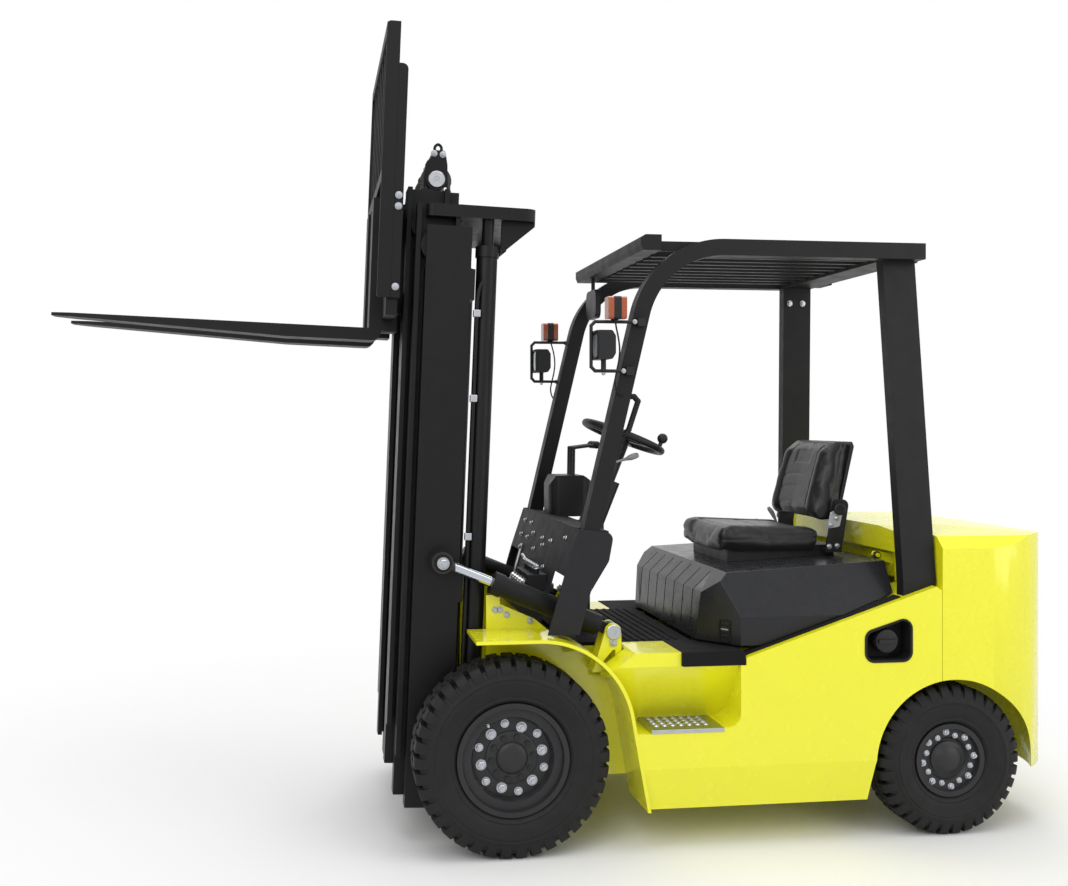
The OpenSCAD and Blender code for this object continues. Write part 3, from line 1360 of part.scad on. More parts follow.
// Side drawing of a straight leaf chain: plates joined by round link ends
module chain_run(x, z0, z1) {
    rect(x - chain_t / 3, z0, x + chain_t / 3, z1);
    for (z = [z0 + chain_t / 2 : link_pitch : z1]) translate([x, z]) circle(r = chain_t / 2, $fn = 24);
}
module lift_chains() {
    color(paint_black) placed() mast_frame() both_sides() side_form(sheave_y - chain_w / 2,
        sheave_y + chain_w / 2) {
        chain_run(head_x - sheave_r, anchor_z + anchor_t + seat_gap, head_z);
        chain_run(head_x + sheave_r, clevis_z, head_z);
        translate([head_x, head_z]) intersection() {
            difference() {
                circle(r = sheave_r + chain_t / 2);
                circle(r = sheave_r - chain_t / 2);
            }
            rect(-big, -1, big, big);
        }
    }
}

// Carriage: two bars, two roller plates, end posts and the anchor of the chains
bar_t = 40;
bar_front = shank_back + seat_gap;
bar_back = bar_front + bar_t;
bar_low_z = fork_top - fork_t + 76;
bar_high_z = bar_low_z + 407;
bar_h = 115;
bar_half_w = carriage_half_w - 15;
carriage_plate_y = inner_web_y - flange_out - 20;
carriage_plate_t = 14;
anchor_z = bar_low_z + 150;
anchor_t = 20;
rest_low_z = fork_top + 91;
rest_back_x = shank_back + 15;
post_t = 31;
post_top_z = backrest_top - 144;
module carriage() {
    plate = rounded([[bar_back - 1, bar_low_z + 32], [bar_back - 1, bar_high_z - 24],
        [bar_back + 30, bar_high_z - 24],
        [bar_back + 40, bar_high_z + 90], [roller_x + 40, bar_high_z + 90], [roller_x + 40, bar_low_z + 100],
        [bar_back + 60, bar_low_z + 32]], [0, 0, 12, 14, 14, 24, 24]);
    post = rounded([[rest_back_x, rest_low_z], [rest_back_x + post_t, rest_low_z],
        [rest_back_x + post_t, post_top_z],
        [rest_back_x, post_top_z]], [0, 0, 20, 0]);
    color(paint_black) placed() mast_frame() {
        for (z = [bar_low_z, bar_high_z - bar_h]) block([bar_front, -bar_half_w, z],
            [bar_back, bar_half_w, z + bar_h]);
        both_sides() {
            side_plate(plate, carriage_plate_y, carriage_plate_y + carriage_plate_t);
            for (z = [bar_low_z + 190, bar_high_z + 30])
                bar_y(roller_x, z, roller_r, carriage_plate_y + carriage_plate_t - 1,
                    inner_web_y - roller_play);
            side_plate(post, bar_half_w - 1, carriage_half_w);
            block([bar_back - 12, bar_half_w - 14, bar_low_z + bar_h - 1],
                [bar_back - 1, bar_half_w, bar_high_z - bar_h + 1]);
        }
        difference() {
            block([bar_back - 1, -carriage_plate_y - 1, anchor_z],
                [head_x - 30, carriage_plate_y + 1, anchor_z + anchor_t]);
            block([head_x - free_barrel_r - 18, -60, anchor_z - 1], [big, 60, anchor_z + anchor_t + 1]);
        }
    }
}

// Load backrest: two side plates, a top and a bottom rail and upright bars
rest_bars = 7;
rest_bar_pitch = 108;
module backrest() {
    x0 = shank_back - 33;
    x1 = rest_back_x - seat_gap;
    rail_z = bar_high_z + 56;
    rail_h = 40;
    side = rounded([[x0, rest_low_z], [x1, rest_low_z], [x1, backrest_top], [x0, backrest_top]],
        [10, 0, 0, 14]);
    color(paint_black) placed() mast_frame() {
        both_sides() side_plate(side, bar_half_w + 2, carriage_half_w);
        for (z = [rail_z, backrest_top - rail_h - 5]) block([x0, -carriage_half_w, z],
            [x1, carriage_half_w, z + rail_h]);
        for (i = [0 : rest_bars - 1]) translate([0, (i - (rest_bars - 1) / 2) * rest_bar_pitch, 0])
            block([x0 + 8, -8, rail_z + 1], [x1 - 8, 8, backrest_top - past]);
    }
}

// Fork: a tapering blade, a rounded heel and two hooks on the carriage's bars
hook_t = 16;
hook_h = 36;
hook_lap = 18;
heel_r = 34;
taper_start = 300;
module fork(side) {
    low = fork_top - fork_t;
    hook_top = bar_high_z + hook_h;
    lip = bar_back + seat_gap;
    outline = concat([[fork_tip_x, fork_top], [shank_front, fork_top], [shank_front, hook_top],
        [lip + hook_t, hook_top],
        [lip + hook_t, bar_high_z - hook_lap], [lip, bar_high_z - hook_lap], [lip, bar_high_z + seat_gap],
            [shank_back, bar_high_z + seat_gap],
        [shank_back, bar_low_z - seat_gap], [lip, bar_low_z - seat_gap], [lip, bar_low_z + hook_lap],
            [lip + hook_t, bar_low_z + hook_lap],
        [lip + hook_t, bar_low_z - 40], [shank_back, bar_low_z - 40]],
        arc(shank_back - heel_r, low + heel_r, heel_r, 0, -90, 6),
        [[shank_front - taper_start, low], [fork_tip_x, fork_top - fork_tip_t]]);
    blade = rounded([[fork_tip_x, -fork_w / 2 + 22], [fork_tip_x + 70, -fork_w / 2], [big, -fork_w / 2],
        [big, fork_w / 2],
        [fork_tip_x + 70, fork_w / 2], [fork_tip_x, fork_w / 2 - 22]], [14, 60, 0, 0, 60, 14]);
    color(paint_black) placed() mast_frame() on_side(side) translate([0, fork_half_y, 0]) intersection() {
        side_plate(outline, -fork_w / 2, fork_w / 2);
        upright(-big, big) polygon(blade);
    }
}

chassis_frame();
side_panel(-1);  // side_panel_left
side_panel(1);  // side_panel_right
fender(-1);  // fender_left
fender(1);  // fender_right
steps();
floor_plate();
cowl();
control_pedestal();
steering_wheel();
counterweight();
rear_grille();
tow_pin();
engine_block();
hood();
seat_base();
seat_cushion();
seat_back();
overhead_guard();
head_lamps();
turn_lamps();
rear_mirror();
tail_lamps();
drive_axle();
front_rim(-1);  // front_rim_left
front_rim(1);  // front_rim_right
front_tyre(-1);  // front_tyre_left
front_tyre(1);  // front_tyre_right
steer_axle();
steer_rod();
knuckle(-1);  // knuckle_left
knuckle(1);  // knuckle_right
rear_rim(-1);  // rear_rim_left
rear_rim(1);  // rear_rim_right
rear_tyre(-1);  // rear_tyre_left
rear_tyre(1);  // rear_tyre_right
tilt_barrel(-1);  // tilt_barrel_left
tilt_barrel(1);  // tilt_barrel_right
tilt_rod(-1);  // tilt_rod_left
tilt_rod(1);  // tilt_rod_right
outer_mast();
lift_barrels();
middle_mast();
inner_mast();
free_lift_barrel();
free_lift_head();
lift_chains();
carriage();
backrest();
fork(-1);  // fork_left
fork(1);  // fork_right
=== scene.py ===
"""Looks of the forklift truck: finishes, tyres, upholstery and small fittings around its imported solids.

Places are written as in the part's source, in millimetres from the front axle's middle on the floor:
+X to the counterweight, +Y to the truck's right side, +Z up. spot() turns them into the frame's metres.
"""

import json
import math

import bmesh
import bpy
from mathutils import Matrix, Vector


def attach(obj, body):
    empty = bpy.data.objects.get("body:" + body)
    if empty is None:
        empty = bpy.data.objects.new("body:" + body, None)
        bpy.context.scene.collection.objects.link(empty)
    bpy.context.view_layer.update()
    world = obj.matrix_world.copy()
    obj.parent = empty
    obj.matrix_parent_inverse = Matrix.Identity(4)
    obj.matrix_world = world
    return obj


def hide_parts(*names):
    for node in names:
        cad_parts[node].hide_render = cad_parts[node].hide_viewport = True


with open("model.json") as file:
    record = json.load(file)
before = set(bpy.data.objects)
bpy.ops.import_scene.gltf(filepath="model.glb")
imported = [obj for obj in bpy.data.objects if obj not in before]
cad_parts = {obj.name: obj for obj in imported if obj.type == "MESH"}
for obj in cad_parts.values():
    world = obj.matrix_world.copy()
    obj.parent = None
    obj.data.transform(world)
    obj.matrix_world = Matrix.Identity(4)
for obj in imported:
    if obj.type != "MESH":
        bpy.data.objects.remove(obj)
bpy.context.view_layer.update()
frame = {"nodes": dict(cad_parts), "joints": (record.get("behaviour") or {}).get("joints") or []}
nodes = frame["nodes"]
joints = {joint["name"]: joint for joint in frame["joints"]}

# Sizes shared with the solids, in millimetres
MM = 0.001
AXLE_X = joints["front_wheel_left_spin"]["pos_m"][0] / MM
FRONT_AXLE_Z = 338.0
FRONT_WHEEL_Y = 485.0
REAR_WHEEL_Y = 480.0
WHEELBASE = 1600.0
REAR_AXLE_Z = 270.0
MAST_LEAN = math.radians(2.3)
SIDES = {"left": -1, "right": 1}


def spot(x, y, z):
    """A place on the truck, from millimetres to the frame's metres."""
    return Vector((x + AXLE_X, y, z)) * MM


# Materials

def feed(tree, target, value):
    """Links a socket to an input, or sets the input to a plain value."""
    if isinstance(value, bpy.types.NodeSocket):
        tree.links.new(value, target)
    else:
        target.default_value = value


def fill(tree, made, **inputs):
    """Feeds some of a node's inputs by name."""
    for key, value in inputs.items():
        feed(tree, made.inputs[key.replace("_", " ")], value)
    return made


def node(tree, kind, **inputs):
    """A new node with some of its inputs fed by name."""
    return fill(tree, tree.nodes.new(kind), **inputs)


def maths(tree, operation, *values):
    """The result of a math node on sockets or numbers."""
    made = tree.nodes.new("ShaderNodeMath")
    made.operation = operation
    for target, value in zip(made.inputs, values):
        feed(tree, target, value)
    return made.outputs["Value"]


def own_place(tree):
    """The piece's own coordinates, in metres."""
    return tree.nodes.new("ShaderNodeTexCoord").outputs["Object"]


def noise(tree, scale, detail=4.0):
    """A noise pattern on the piece's own coordinates."""
    return node(tree, "ShaderNodeTexNoise", Vector=own_place(tree), Scale=scale, Detail=detail,
                Roughness=0.55).outputs["Fac"]


def ranged(tree, value, start, stop, low, high):
    """A node whose result runs from low to high as the value runs from start to stop."""
    return node(tree, "ShaderNodeMapRange", Value=value, From_Min=start, From_Max=stop, To_Min=low,
                To_Max=high)


def between(tree, factor, low, high):
    """A number that runs from low to high as the factor runs over a noise's usual span."""
    return ranged(tree, factor, 0.3, 0.7, low, high).outputs["Result"]


def mixed(tree, factor, first, second):
    """A colour between two others; each may be a colour or a socket."""
    made = tree.nodes.new("ShaderNodeMix")
    made.data_type = "RGBA"
    feed(tree, made.inputs["Factor"], factor)
    targets = [socket for socket in made.inputs if socket.type == "RGBA"]
    for target, colour in zip(targets, (first, second)):
        feed(tree, target, colour if isinstance(colour, bpy.types.NodeSocket) else (*colour, 1.0))
    return [socket for socket in made.outputs if socket.type == "RGBA"][0]


def shade(colour, amount):
    """A lighter or darker shade of a colour."""
    return tuple(min(1.0, channel * amount) for channel in colour)


def bumped(tree, height, strength, distance, **under):
    """A normal from a height pattern; distance in metres."""
    return node(tree, "ShaderNodeBump", Height=height, Strength=strength, Distance=distance,
                **under).outputs["Normal"]


def low_dust(tree, top, spread):
    """A mask that is strongest at the floor and fades out at the given height, broken up by noise."""
    height = node(tree, "ShaderNodeSeparateXYZ", Vector=own_place(tree)).outputs["Z"]
    fade = ranged(tree, height, 0.0, top, spread, 0.0).outputs["Result"]
    return maths(tree, "MULTIPLY", fade, between(tree, noise(tree, 6.0, 6.0), 0.2, 1.0))


DUST = (0.42, 0.39, 0.33)
DUST_TOP = 0.7
GLOSS_SPREAD = 0.06
GLOSS_PATTERN = 2.7
MIN_ROUGHNESS = 0.02
COAT_ROUGHNESS = 0.06


def finish(name, colour, roughness, metal=0.0, coat=0.0, mottle=0.05, mottle_scale=7.0, grain=0.15,
           grain_scale=380.0, grain_depth=0.0002, dust=None, specular=0.5):
    """A paint, plastic or metal: mottled colour, uneven gloss, fine surface grain and dust near the floor."""
    made = bpy.data.materials.new(name)
    made.use_nodes = True
    tree = made.node_tree
    tint = mixed(tree, noise(tree, mottle_scale), shade(colour, 1.0 - mottle), shade(colour, 1.0 + mottle))
    if dust is not None:
        tint = mixed(tree, low_dust(tree, DUST_TOP, dust), tint, DUST)
    gloss = between(tree, noise(tree, mottle_scale * GLOSS_PATTERN),
                    max(MIN_ROUGHNESS, roughness - GLOSS_SPREAD), roughness + GLOSS_SPREAD)
    fill(tree, tree.nodes["Principled BSDF"], Metallic=metal, Specular_IOR_Level=specular, Coat_Weight=coat,
         Coat_Roughness=COAT_ROUGHNESS, Base_Color=tint, Roughness=gloss,
         Normal=bumped(tree, noise(tree, grain_scale, 2.0), grain, grain_depth))
    return made


YELLOW = (0.81, 0.79, 0.010)
yellow_paint = finish("yellow paint", YELLOW, 0.24, coat=0.5, mottle=0.025, grain=0.06, grain_scale=160.0,
                      dust=0.05)
cast_yellow = finish("yellow casting", YELLOW, 0.27, coat=0.45, mottle=0.03, grain=0.14, grain_scale=70.0,
                     dust=0.05)
mast_black = finish("mast black", (0.006, 0.006, 0.0068), 0.42, mottle=0.2, grain=0.1, grain_scale=220.0,
                    dust=0.015, specular=0.2)
guard_black = finish("guard black", (0.009, 0.009, 0.010), 0.50, mottle=0.15, grain=0.22, grain_scale=420.0,
                     specular=0.2)
fork_black = finish("fork black", (0.0045, 0.0045, 0.005), 0.50, mottle=0.25, grain=0.2, grain_scale=140.0,
                    specular=0.2)
cowl_grey = finish("cowl grey", (0.020, 0.020, 0.0225), 0.60, mottle=0.08, grain=0.35, grain_scale=520.0,
                   specular=0.15)
hood_grey = finish("hood grey", (0.017, 0.0175, 0.0195), 0.28, coat=0.1, mottle=0.1, grain=0.05,
                   grain_scale=120.0, specular=0.2)
trim_black = finish("trim black", (0.009, 0.009, 0.0095), 0.55, mottle=0.12, grain=0.4, grain_scale=700.0,
                    specular=0.2)
moulded_black = finish("moulded black", (0.010, 0.010, 0.0115), 0.44, mottle=0.1, grain=0.3,
                       grain_scale=650.0, specular=0.3)
mat_rubber = finish("mat rubber", (0.010, 0.010, 0.0105), 0.85, mottle=0.2, grain=0.5, grain_scale=300.0,
                    specular=0.12)
tyre_rubber = finish("tyre rubber", (0.0085, 0.0085, 0.0092), 0.62, mottle=0.22, mottle_scale=11.0,
                     grain=0.35, grain_scale=260.0, dust=0.02, specular=0.22)
rim_grey = finish("rim grey", (0.016, 0.0165, 0.0185), 0.42, mottle=0.1, grain=0.18, grain_scale=240.0,
                  dust=0.02, specular=0.3)
axle_iron = finish("axle iron", (0.014, 0.014, 0.015), 0.55, mottle=0.2, grain=0.5, grain_scale=110.0,
                   dust=0.06, specular=0.2)
zinc = finish("zinc plate", (0.44, 0.455, 0.485), 0.33, metal=1.0, mottle=0.12, mottle_scale=60.0, grain=0.12,
              grain_scale=300.0)
ROD_STEEL = (0.50, 0.53, 0.58)
bright_rod = finish("bright rod", ROD_STEEL, 0.10, metal=1.0, mottle=0.05, grain=0.04, grain_scale=800.0)
brushed_tin = finish("brushed tin", (0.50, 0.51, 0.53), 0.42, metal=1.0, mottle=0.1, grain=0.2,
                     grain_scale=500.0)
chain_steel = finish("chain steel", (0.060, 0.058, 0.055), 0.38, metal=0.8, mottle=0.3, mottle_scale=40.0,
                     grain=0.3)
amber_lens = finish("amber lens", (0.32, 0.065, 0.012), 0.16, coat=0.3, mottle=0.1, grain=0.5,
                    grain_scale=420.0, grain_depth=0.0006)
red_lens = finish("red lens", (0.52, 0.02, 0.015), 0.16, coat=0.6, mottle=0.1, grain=0.5, grain_scale=420.0,
                  grain_depth=0.0006)
lamp_glass = finish("lamp glass", (0.42, 0.44, 0.46), 0.08, metal=0.55, coat=0.7, mottle=0.12,
                    mottle_scale=40.0, grain=0.5, grain_scale=160.0, grain_depth=0.001)
mirror_face = finish("mirror face", (0.80, 0.81, 0.82), 0.04, metal=1.0, mottle=0.01, grain=0.02)
buckle_red = finish("buckle red", (0.45, 0.02, 0.02), 0.35, mottle=0.08, grain=0.2, grain_scale=600.0)
engine_grey = finish("engine grey", (0.06, 0.06, 0.065), 0.5, mottle=0.15, grain=0.5, grain_scale=120.0)


def seat_vinyl_finish():
    """Black seat vinyl with a pebbled leather grain."""
    made = finish("seat vinyl", (0.008, 0.008, 0.0095), 0.36, mottle=0.15, mottle_scale=18.0, grain=0.2,
                  grain_scale=260.0, specular=0.3)
    tree = made.node_tree
    shader = tree.nodes["Principled BSDF"]
    pebble = node(tree, "ShaderNodeTexVoronoi", Vector=own_place(tree), Scale=420.0)
    pebble.feature = "DISTANCE_TO_EDGE"
    under = shader.inputs["Normal"].links[0].from_socket
    fill(tree, shader, Sheen_Weight=0.08,
         Normal=bumped(tree, pebble.outputs["Distance"], 0.14, 0.0006, Normal=under))
    return made


def tilt_rod_finish(eye_x):
    """A bright rod whose eye, forward of the given place in millimetres, is painted black."""
    made = finish("tilt rod", ROD_STEEL, 0.10, metal=1.0, mottle=0.05, grain=0.04, grain_scale=800.0)
    tree = made.node_tree
    shader = tree.nodes["Principled BSDF"]
    along = node(tree, "ShaderNodeSeparateXYZ", Vector=own_place(tree)).outputs["X"]
    painted = maths(tree, "LESS_THAN", along, spot(eye_x, 0, 0).x)
    tint = shader.inputs["Base Color"].links[0].from_socket
    gloss = shader.inputs["Roughness"].links[0].from_socket
    fill(tree, shader, Metallic=maths(tree, "SUBTRACT", 1.0, painted),
         Base_Color=mixed(tree, painted, tint, (0.008, 0.008, 0.009)),
         Roughness=maths(tree, "MULTIPLY_ADD", painted, 0.35, gloss))
    return made


ROD_EYE_X = -179
seat_vinyl = seat_vinyl_finish()
tilt_rod_paint = tilt_rod_finish(ROD_EYE_X)

# Which solids wear which finish; a name that ends in _ stands for the left and the right one
NODE_FINISHES = (
    (yellow_paint, "chassis_frame side_panel_ fender_"), (cast_yellow, "counterweight"),
    (mast_black, "outer_mast middle_mast inner_mast lift_barrels free_lift_barrel free_lift_head"),
    (mast_black, "tilt_barrel_"), (guard_black, "overhead_guard"), (fork_black, "carriage backrest fork_"),
    (cowl_grey, "cowl"), (hood_grey, "hood"), (trim_black, "rear_grille"), (mat_rubber, "floor_plate"),
    (seat_vinyl, "seat_cushion seat_back"),
    (moulded_black, "control_pedestal steering_wheel seat_base head_lamps rear_mirror"),
    (tyre_rubber, "front_tyre_ rear_tyre_"), (rim_grey, "front_rim_ rear_rim_"),
    (axle_iron, "drive_axle steer_axle knuckle_"), (engine_grey, "engine_block"), (zinc, "steps tow_pin"),
    (bright_rod, "steer_rod"), (tilt_rod_paint, "tilt_rod_"), (chain_steel, "lift_chains"),
    (amber_lens, "turn_lamps"), (red_lens, "tail_lamps"),
)


def named(names):
    """The solids that a string of names stands for."""
    made = []
    for name in names.split():
        made += [nodes[name + side] for side in SIDES] if name.endswith("_") else [nodes[name]]
    return made


for material, names in NODE_FINISHES:
    for solid in named(names):
        solid.data.materials.clear()
        solid.data.materials.append(material)

# Soft edges on the solids, by the width of the broken edge in millimetres
EDGE_WIDTHS = {
    14: "hood", 12: "counterweight", 8: "side_panel_", 6: "overhead_guard",
    4: "fork_ carriage control_pedestal", 3: "fender_ outer_mast middle_mast inner_mast backrest seat_base",
    2.5: "chassis_frame", 2: "cowl", 1: "steps",
}
SOLID_ANGLE = math.radians(32)
WELD_REACH = 0.00002


def break_edges(made, width, angle):
    """Rounds the edges that are sharper than an angle; width in millimetres."""
    edge = made.modifiers.new("edge", "BEVEL")
    edge.width = width * MM
    edge.segments = 2
    edge.limit_method = "ANGLE"
    edge.angle_limit = angle
    edge.harden_normals = True


for width, names in EDGE_WIDTHS.items():
    for solid in named(names):
        weld = solid.modifiers.new("weld", "WELD")
        weld.merge_threshold = WELD_REACH
        break_edges(solid, width, SOLID_ANGLE)

# Camera at the photograph's place
camera_data = bpy.data.cameras.new("photo camera")
camera_data.lens = 38.1
camera_data.shift_x = 0.0721
camera_data.shift_y = -0.0197
camera = bpy.data.objects.new("photo camera", camera_data)
camera.location = spot(-701, -4340, 1487)
camera.rotation_euler = (math.pi / 2, 0, math.radians(-7.65))
bpy.context.scene.collection.objects.link(camera)
bpy.context.scene.camera = camera


def soft_lamp(name, place, aim, size, power):
    """A large square studio lamp that faces a point."""
    lamp = bpy.data.lights.new(name, "AREA")
    lamp.size = size
    lamp.energy = power
    holder = bpy.data.objects.new(name, lamp)
    holder.location = place
    holder.rotation_euler = (Vector(aim) - Vector(place)).to_track_quat("-Z", "Y").to_euler()
    bpy.context.scene.collection.objects.link(holder)


soft_lamp("key lamp", (-4.2, -6.4, 5.6), (0.2, 0.0, 1.0), 6.0, 330)
soft_lamp("top lamp", (0.4, -0.6, 6.8), (0.3, 0.0, 0.5), 6.0, 300)
soft_lamp("fill lamp", (5.8, -5.0, 3.0), (0.4, 0.0, 0.9), 5.0, 135)
soft_lamp("back lamp", (1.5, 4.6, 7.0), (0.3, 0.0, 1.0), 5.0, 170)

SOFT_LIGHT = 0.34
SHADOW_REACH = 1.3
WHITE_REACH = 3.6


def seen_ray(tree):
    """1 for rays from the camera, in reflections and through glass, else 0."""
    ray = tree.nodes.new("ShaderNodeLightPath")
    total = ray.outputs["Is Camera Ray"]
    for name in ("Is Glossy Ray", "Is Transmission Ray"):
        total = maths(tree, "MAXIMUM", total, ray.outputs[name])
    return total


def studio_world():
    """White to the camera, in reflections and through glass, a soft even light elsewhere."""
    world = bpy.data.worlds.new("studio")
    bpy.context.scene.world = world
    world.use_nodes = True
    tree = world.node_tree
    strength = ranged(tree, seen_ray(tree), 0.0, 1.0, SOFT_LIGHT, 1.0)
    fill(tree, tree.nodes["Background"], Color=(1, 1, 1, 1), Strength=strength.outputs["Result"])


def studio_floor():
    """A pale floor that keeps the shadow near the truck and fades to white further out."""
    made = bpy.data.materials.new("pale floor")
    made.use_nodes = True
    tree = made.node_tree
    shader = fill(tree, tree.nodes["Principled BSDF"], Base_Color=(0.86, 0.86, 0.86, 1), Roughness=0.8)
    white = node(tree, "ShaderNodeEmission", Strength=1.0)
    length = tree.nodes.new("ShaderNodeVectorMath")
    length.operation = "LENGTH"
    tree.links.new(own_place(tree), length.inputs[0])
    fade = ranged(tree, length.outputs["Value"], SHADOW_REACH, WHITE_REACH, 0.0, 1.0)
    fade.interpolation_type = "SMOOTHSTEP"
    blend = tree.nodes.new("ShaderNodeMixShader")
    feed(tree, blend.inputs["Fac"], maths(tree, "MULTIPLY", fade.outputs["Result"], seen_ray(tree)))
    tree.links.new(shader.outputs["BSDF"], blend.inputs[1])
    tree.links.new(white.outputs["Emission"], blend.inputs[2])
    fill(tree, tree.nodes["Material Output"], Surface=blend.outputs["Shader"])
    mesh = bpy.data.meshes.new("floor")
    shape = bmesh.new()
    bmesh.ops.create_circle(shape, cap_ends=True, segments=96, radius=40.0)
    shape.to_mesh(mesh)
    shape.free()
    floor = bpy.data.objects.new("floor", mesh)
    floor.data.materials.append(made)
    floor.location.z = -0.0005
    bpy.context.scene.collection.objects.link(floor)


studio_world()
studio_floor()
bpy.context.scene.view_settings.view_transform = "Standard"

# Shapes: each helper adds to a bmesh in millimetres, and piece() turns the result into an object

TRUCK = Matrix.Translation(spot(0, 0, 0)) @ Matrix.Scale(MM, 4)
MAST = Matrix.Translation(spot(0, 0, FRONT_AXLE_Z)) @ Matrix.Rotation(MAST_LEAN, 4, "Y") @ Matrix.Scale(MM, 4)
SMOOTH_ANGLE = math.radians(34)
FITTING_ANGLE = math.radians(25)
PAD_ANGLE = math.radians(80)


def mesh_object(name, mesh, materials):
    """An object at the origin that holds a mesh with its materials."""
    made = bpy.data.objects.new(name, mesh)
    for material in materials:
        mesh.materials.append(material)
    bpy.context.scene.collection.objects.link(made)
    return made


def smooth(mesh, angle=SMOOTH_ANGLE):
    """Smooth shading that keeps edges sharper than the angle."""
    mesh.polygons.foreach_set("use_smooth", [True] * len(mesh.polygons))
    mesh.set_sharp_from_angle(angle=angle)


def to_mesh(name, shape, place):
    """A mesh from a bmesh that is turned outward and put in its place."""
    bmesh.ops.recalc_face_normals(shape, faces=shape.faces)
    bmesh.ops.transform(shape, matrix=place, verts=shape.verts)
    mesh = bpy.data.meshes.new(name)
    shape.to_mesh(mesh)
    shape.free()
    return mesh


def piece(name, shape, material, body, slot, place=TRUCK, edge=0.0):
    """A finished piece from a bmesh: merged, turned outward, with broken edges, riding on a body."""
    bmesh.ops.remove_doubles(shape, verts=shape.verts, dist=0.01)
    mesh = to_mesh(name, shape, place)
    smooth(mesh)
    made = mesh_object(name, mesh, [material])
    if edge > 0:
        break_edges(made, edge, SMOOTH_ANGLE)
    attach(made, body)
    return made


def rounded(points, radius, steps=5):
    """An outline whose corners are rounded by one radius."""
    made = []
    for index, corner in enumerate(points):
        corner = Vector(corner)
        before = (Vector(points[index - 1]) - corner).normalized()
        after = (Vector(points[(index + 1) % len(points)]) - corner).normalized()
        half = before.angle(after) / 2
        middle = corner + (before + after).normalized() * radius / math.sin(half)
        start = corner + before * radius / math.tan(half) - middle
        stop = corner + after * radius / math.tan(half) - middle
        for step in range(steps + 1):
            share = step / steps
            made.append(tuple(middle + (start * (1 - share) + stop * share).normalized() * radius))
    return made


def bridge(shape, ring, other):
    """Faces between two closed rings of as many points."""
    for index in range(len(ring)):
        after = (index + 1) % len(ring)
        shape.faces.new((ring[index], ring[after], other[after], other[index]))


def lofted(rows):
    """A closed form through rows of points."""
    shape = bmesh.new()
    rows = [[shape.verts.new(point) for point in row] for row in rows]
    for row, other in zip(rows, rows[1:]):
        bridge(shape, row, other)
    shape.faces.new(rows[0])
    shape.faces.new(reversed(rows[-1]))
    return shape


def facing_y(u, v, w):
    """Lays an outline of X and Z along the truck."""
    return (u, w, v)


def facing_x(u, v, w):
    """Lays an outline of Y and Z across the truck."""
    return (w, u, v)


def facing_z(u, v, w):
    """Lays an outline of X and Y flat."""
    return (u, v, w)


def prism(shape, outline, low, high, lift=facing_y):
    """A flat outline drawn out from low to high; lift says which way the outline lies."""
    rings = [[shape.verts.new(lift(u, v, w)) for u, v in outline] for w in (low, high)]
    shape.faces.new(rings[0])
    shape.faces.new(reversed(rings[1]))
    bridge(shape, *rings)


def frame_ring(shape, outer, inner, low, high, lift=facing_y):
    """A flat frame between two outlines of as many points, drawn out from low to high."""
    loops = [[shape.verts.new(lift(u, v, w)) for u, v in outline]
             for outline, w in ((outer, low), (outer, high), (inner, high), (inner, low))]
    for loop, other in zip(loops, loops[1:] + loops[:1]):
        bridge(shape, loop, other)


def box(shape, low, high):
    """A box between two corners."""
    outline = [(low[0], low[1]), (high[0], low[1]), (high[0], high[1]), (low[0], high[1])]
    prism(shape, outline, low[2], high[2], facing_z)


def circle(middle, first, second, radius, steps):
    """Points round a middle, in the plane of two directions."""
    angles = [2 * math.pi * index / steps for index in range(steps)]
    return [middle + radius * (first * math.cos(angle) + second * math.sin(angle)) for angle in angles]


def lathe(shape, profile, centre, axis, steps):
    """A turned shape: the profile gives radius and distance along the axis; its ends close on the axis."""
    turn = Vector((0, 0, 1)).rotation_difference(Vector(axis)).to_matrix()
    across, other_way, ahead = turn.col
    rings = []
    for radius, along in profile:
        middle = Vector(centre) + ahead * along
        points = [middle] if radius < 0.001 else circle(middle, across, other_way, radius, steps)
        rings.append([shape.verts.new(point) for point in points])
    for ring, other in zip(rings, rings[1:]):
        if len(ring) == len(other) == steps:
            bridge(shape, ring, other)
            continue
        pole, rim = sorted((ring, other), key=len)
        for index in range(len(rim) if len(rim) > 1 else 0):
            shape.faces.new((pole[0], rim[index], rim[(index + 1) % steps]))


def tube(shape, points, radius, steps=12):
    """A round tube along points, closed at both ends; radius may be one number or one for each point."""
    points = [Vector(point) for point in points]
    radii = radius if isinstance(radius, (list, tuple)) else [radius] * len(points)
    side = None
    rings = []
    for index, point in enumerate(points):
        ahead = points[min(index + 1, len(points) - 1)]
        behind = points[max(index - 1, 0)]
        run = (ahead - behind).normalized()
        if side is None:
            side = run.orthogonal().normalized()
        side = (side - run * side.dot(run)).normalized()
        ring = circle(point, side, run.cross(side), radii[index], steps)
        rings.append([shape.verts.new(place) for place in ring])
    for ring, other in zip(rings, rings[1:]):
        bridge(shape, ring, other)
    shape.faces.new(rings[0])
    shape.faces.new(reversed(rings[-1]))


def drawn(name, maker, sizes, *look, **more):
    """A piece from one shape helper and its sizes; look and more go on to piece()."""
    shape = bmesh.new()
    maker(shape, *sizes)
    return piece(name, shape, *look, **more)


CURVE_STEPS = 24


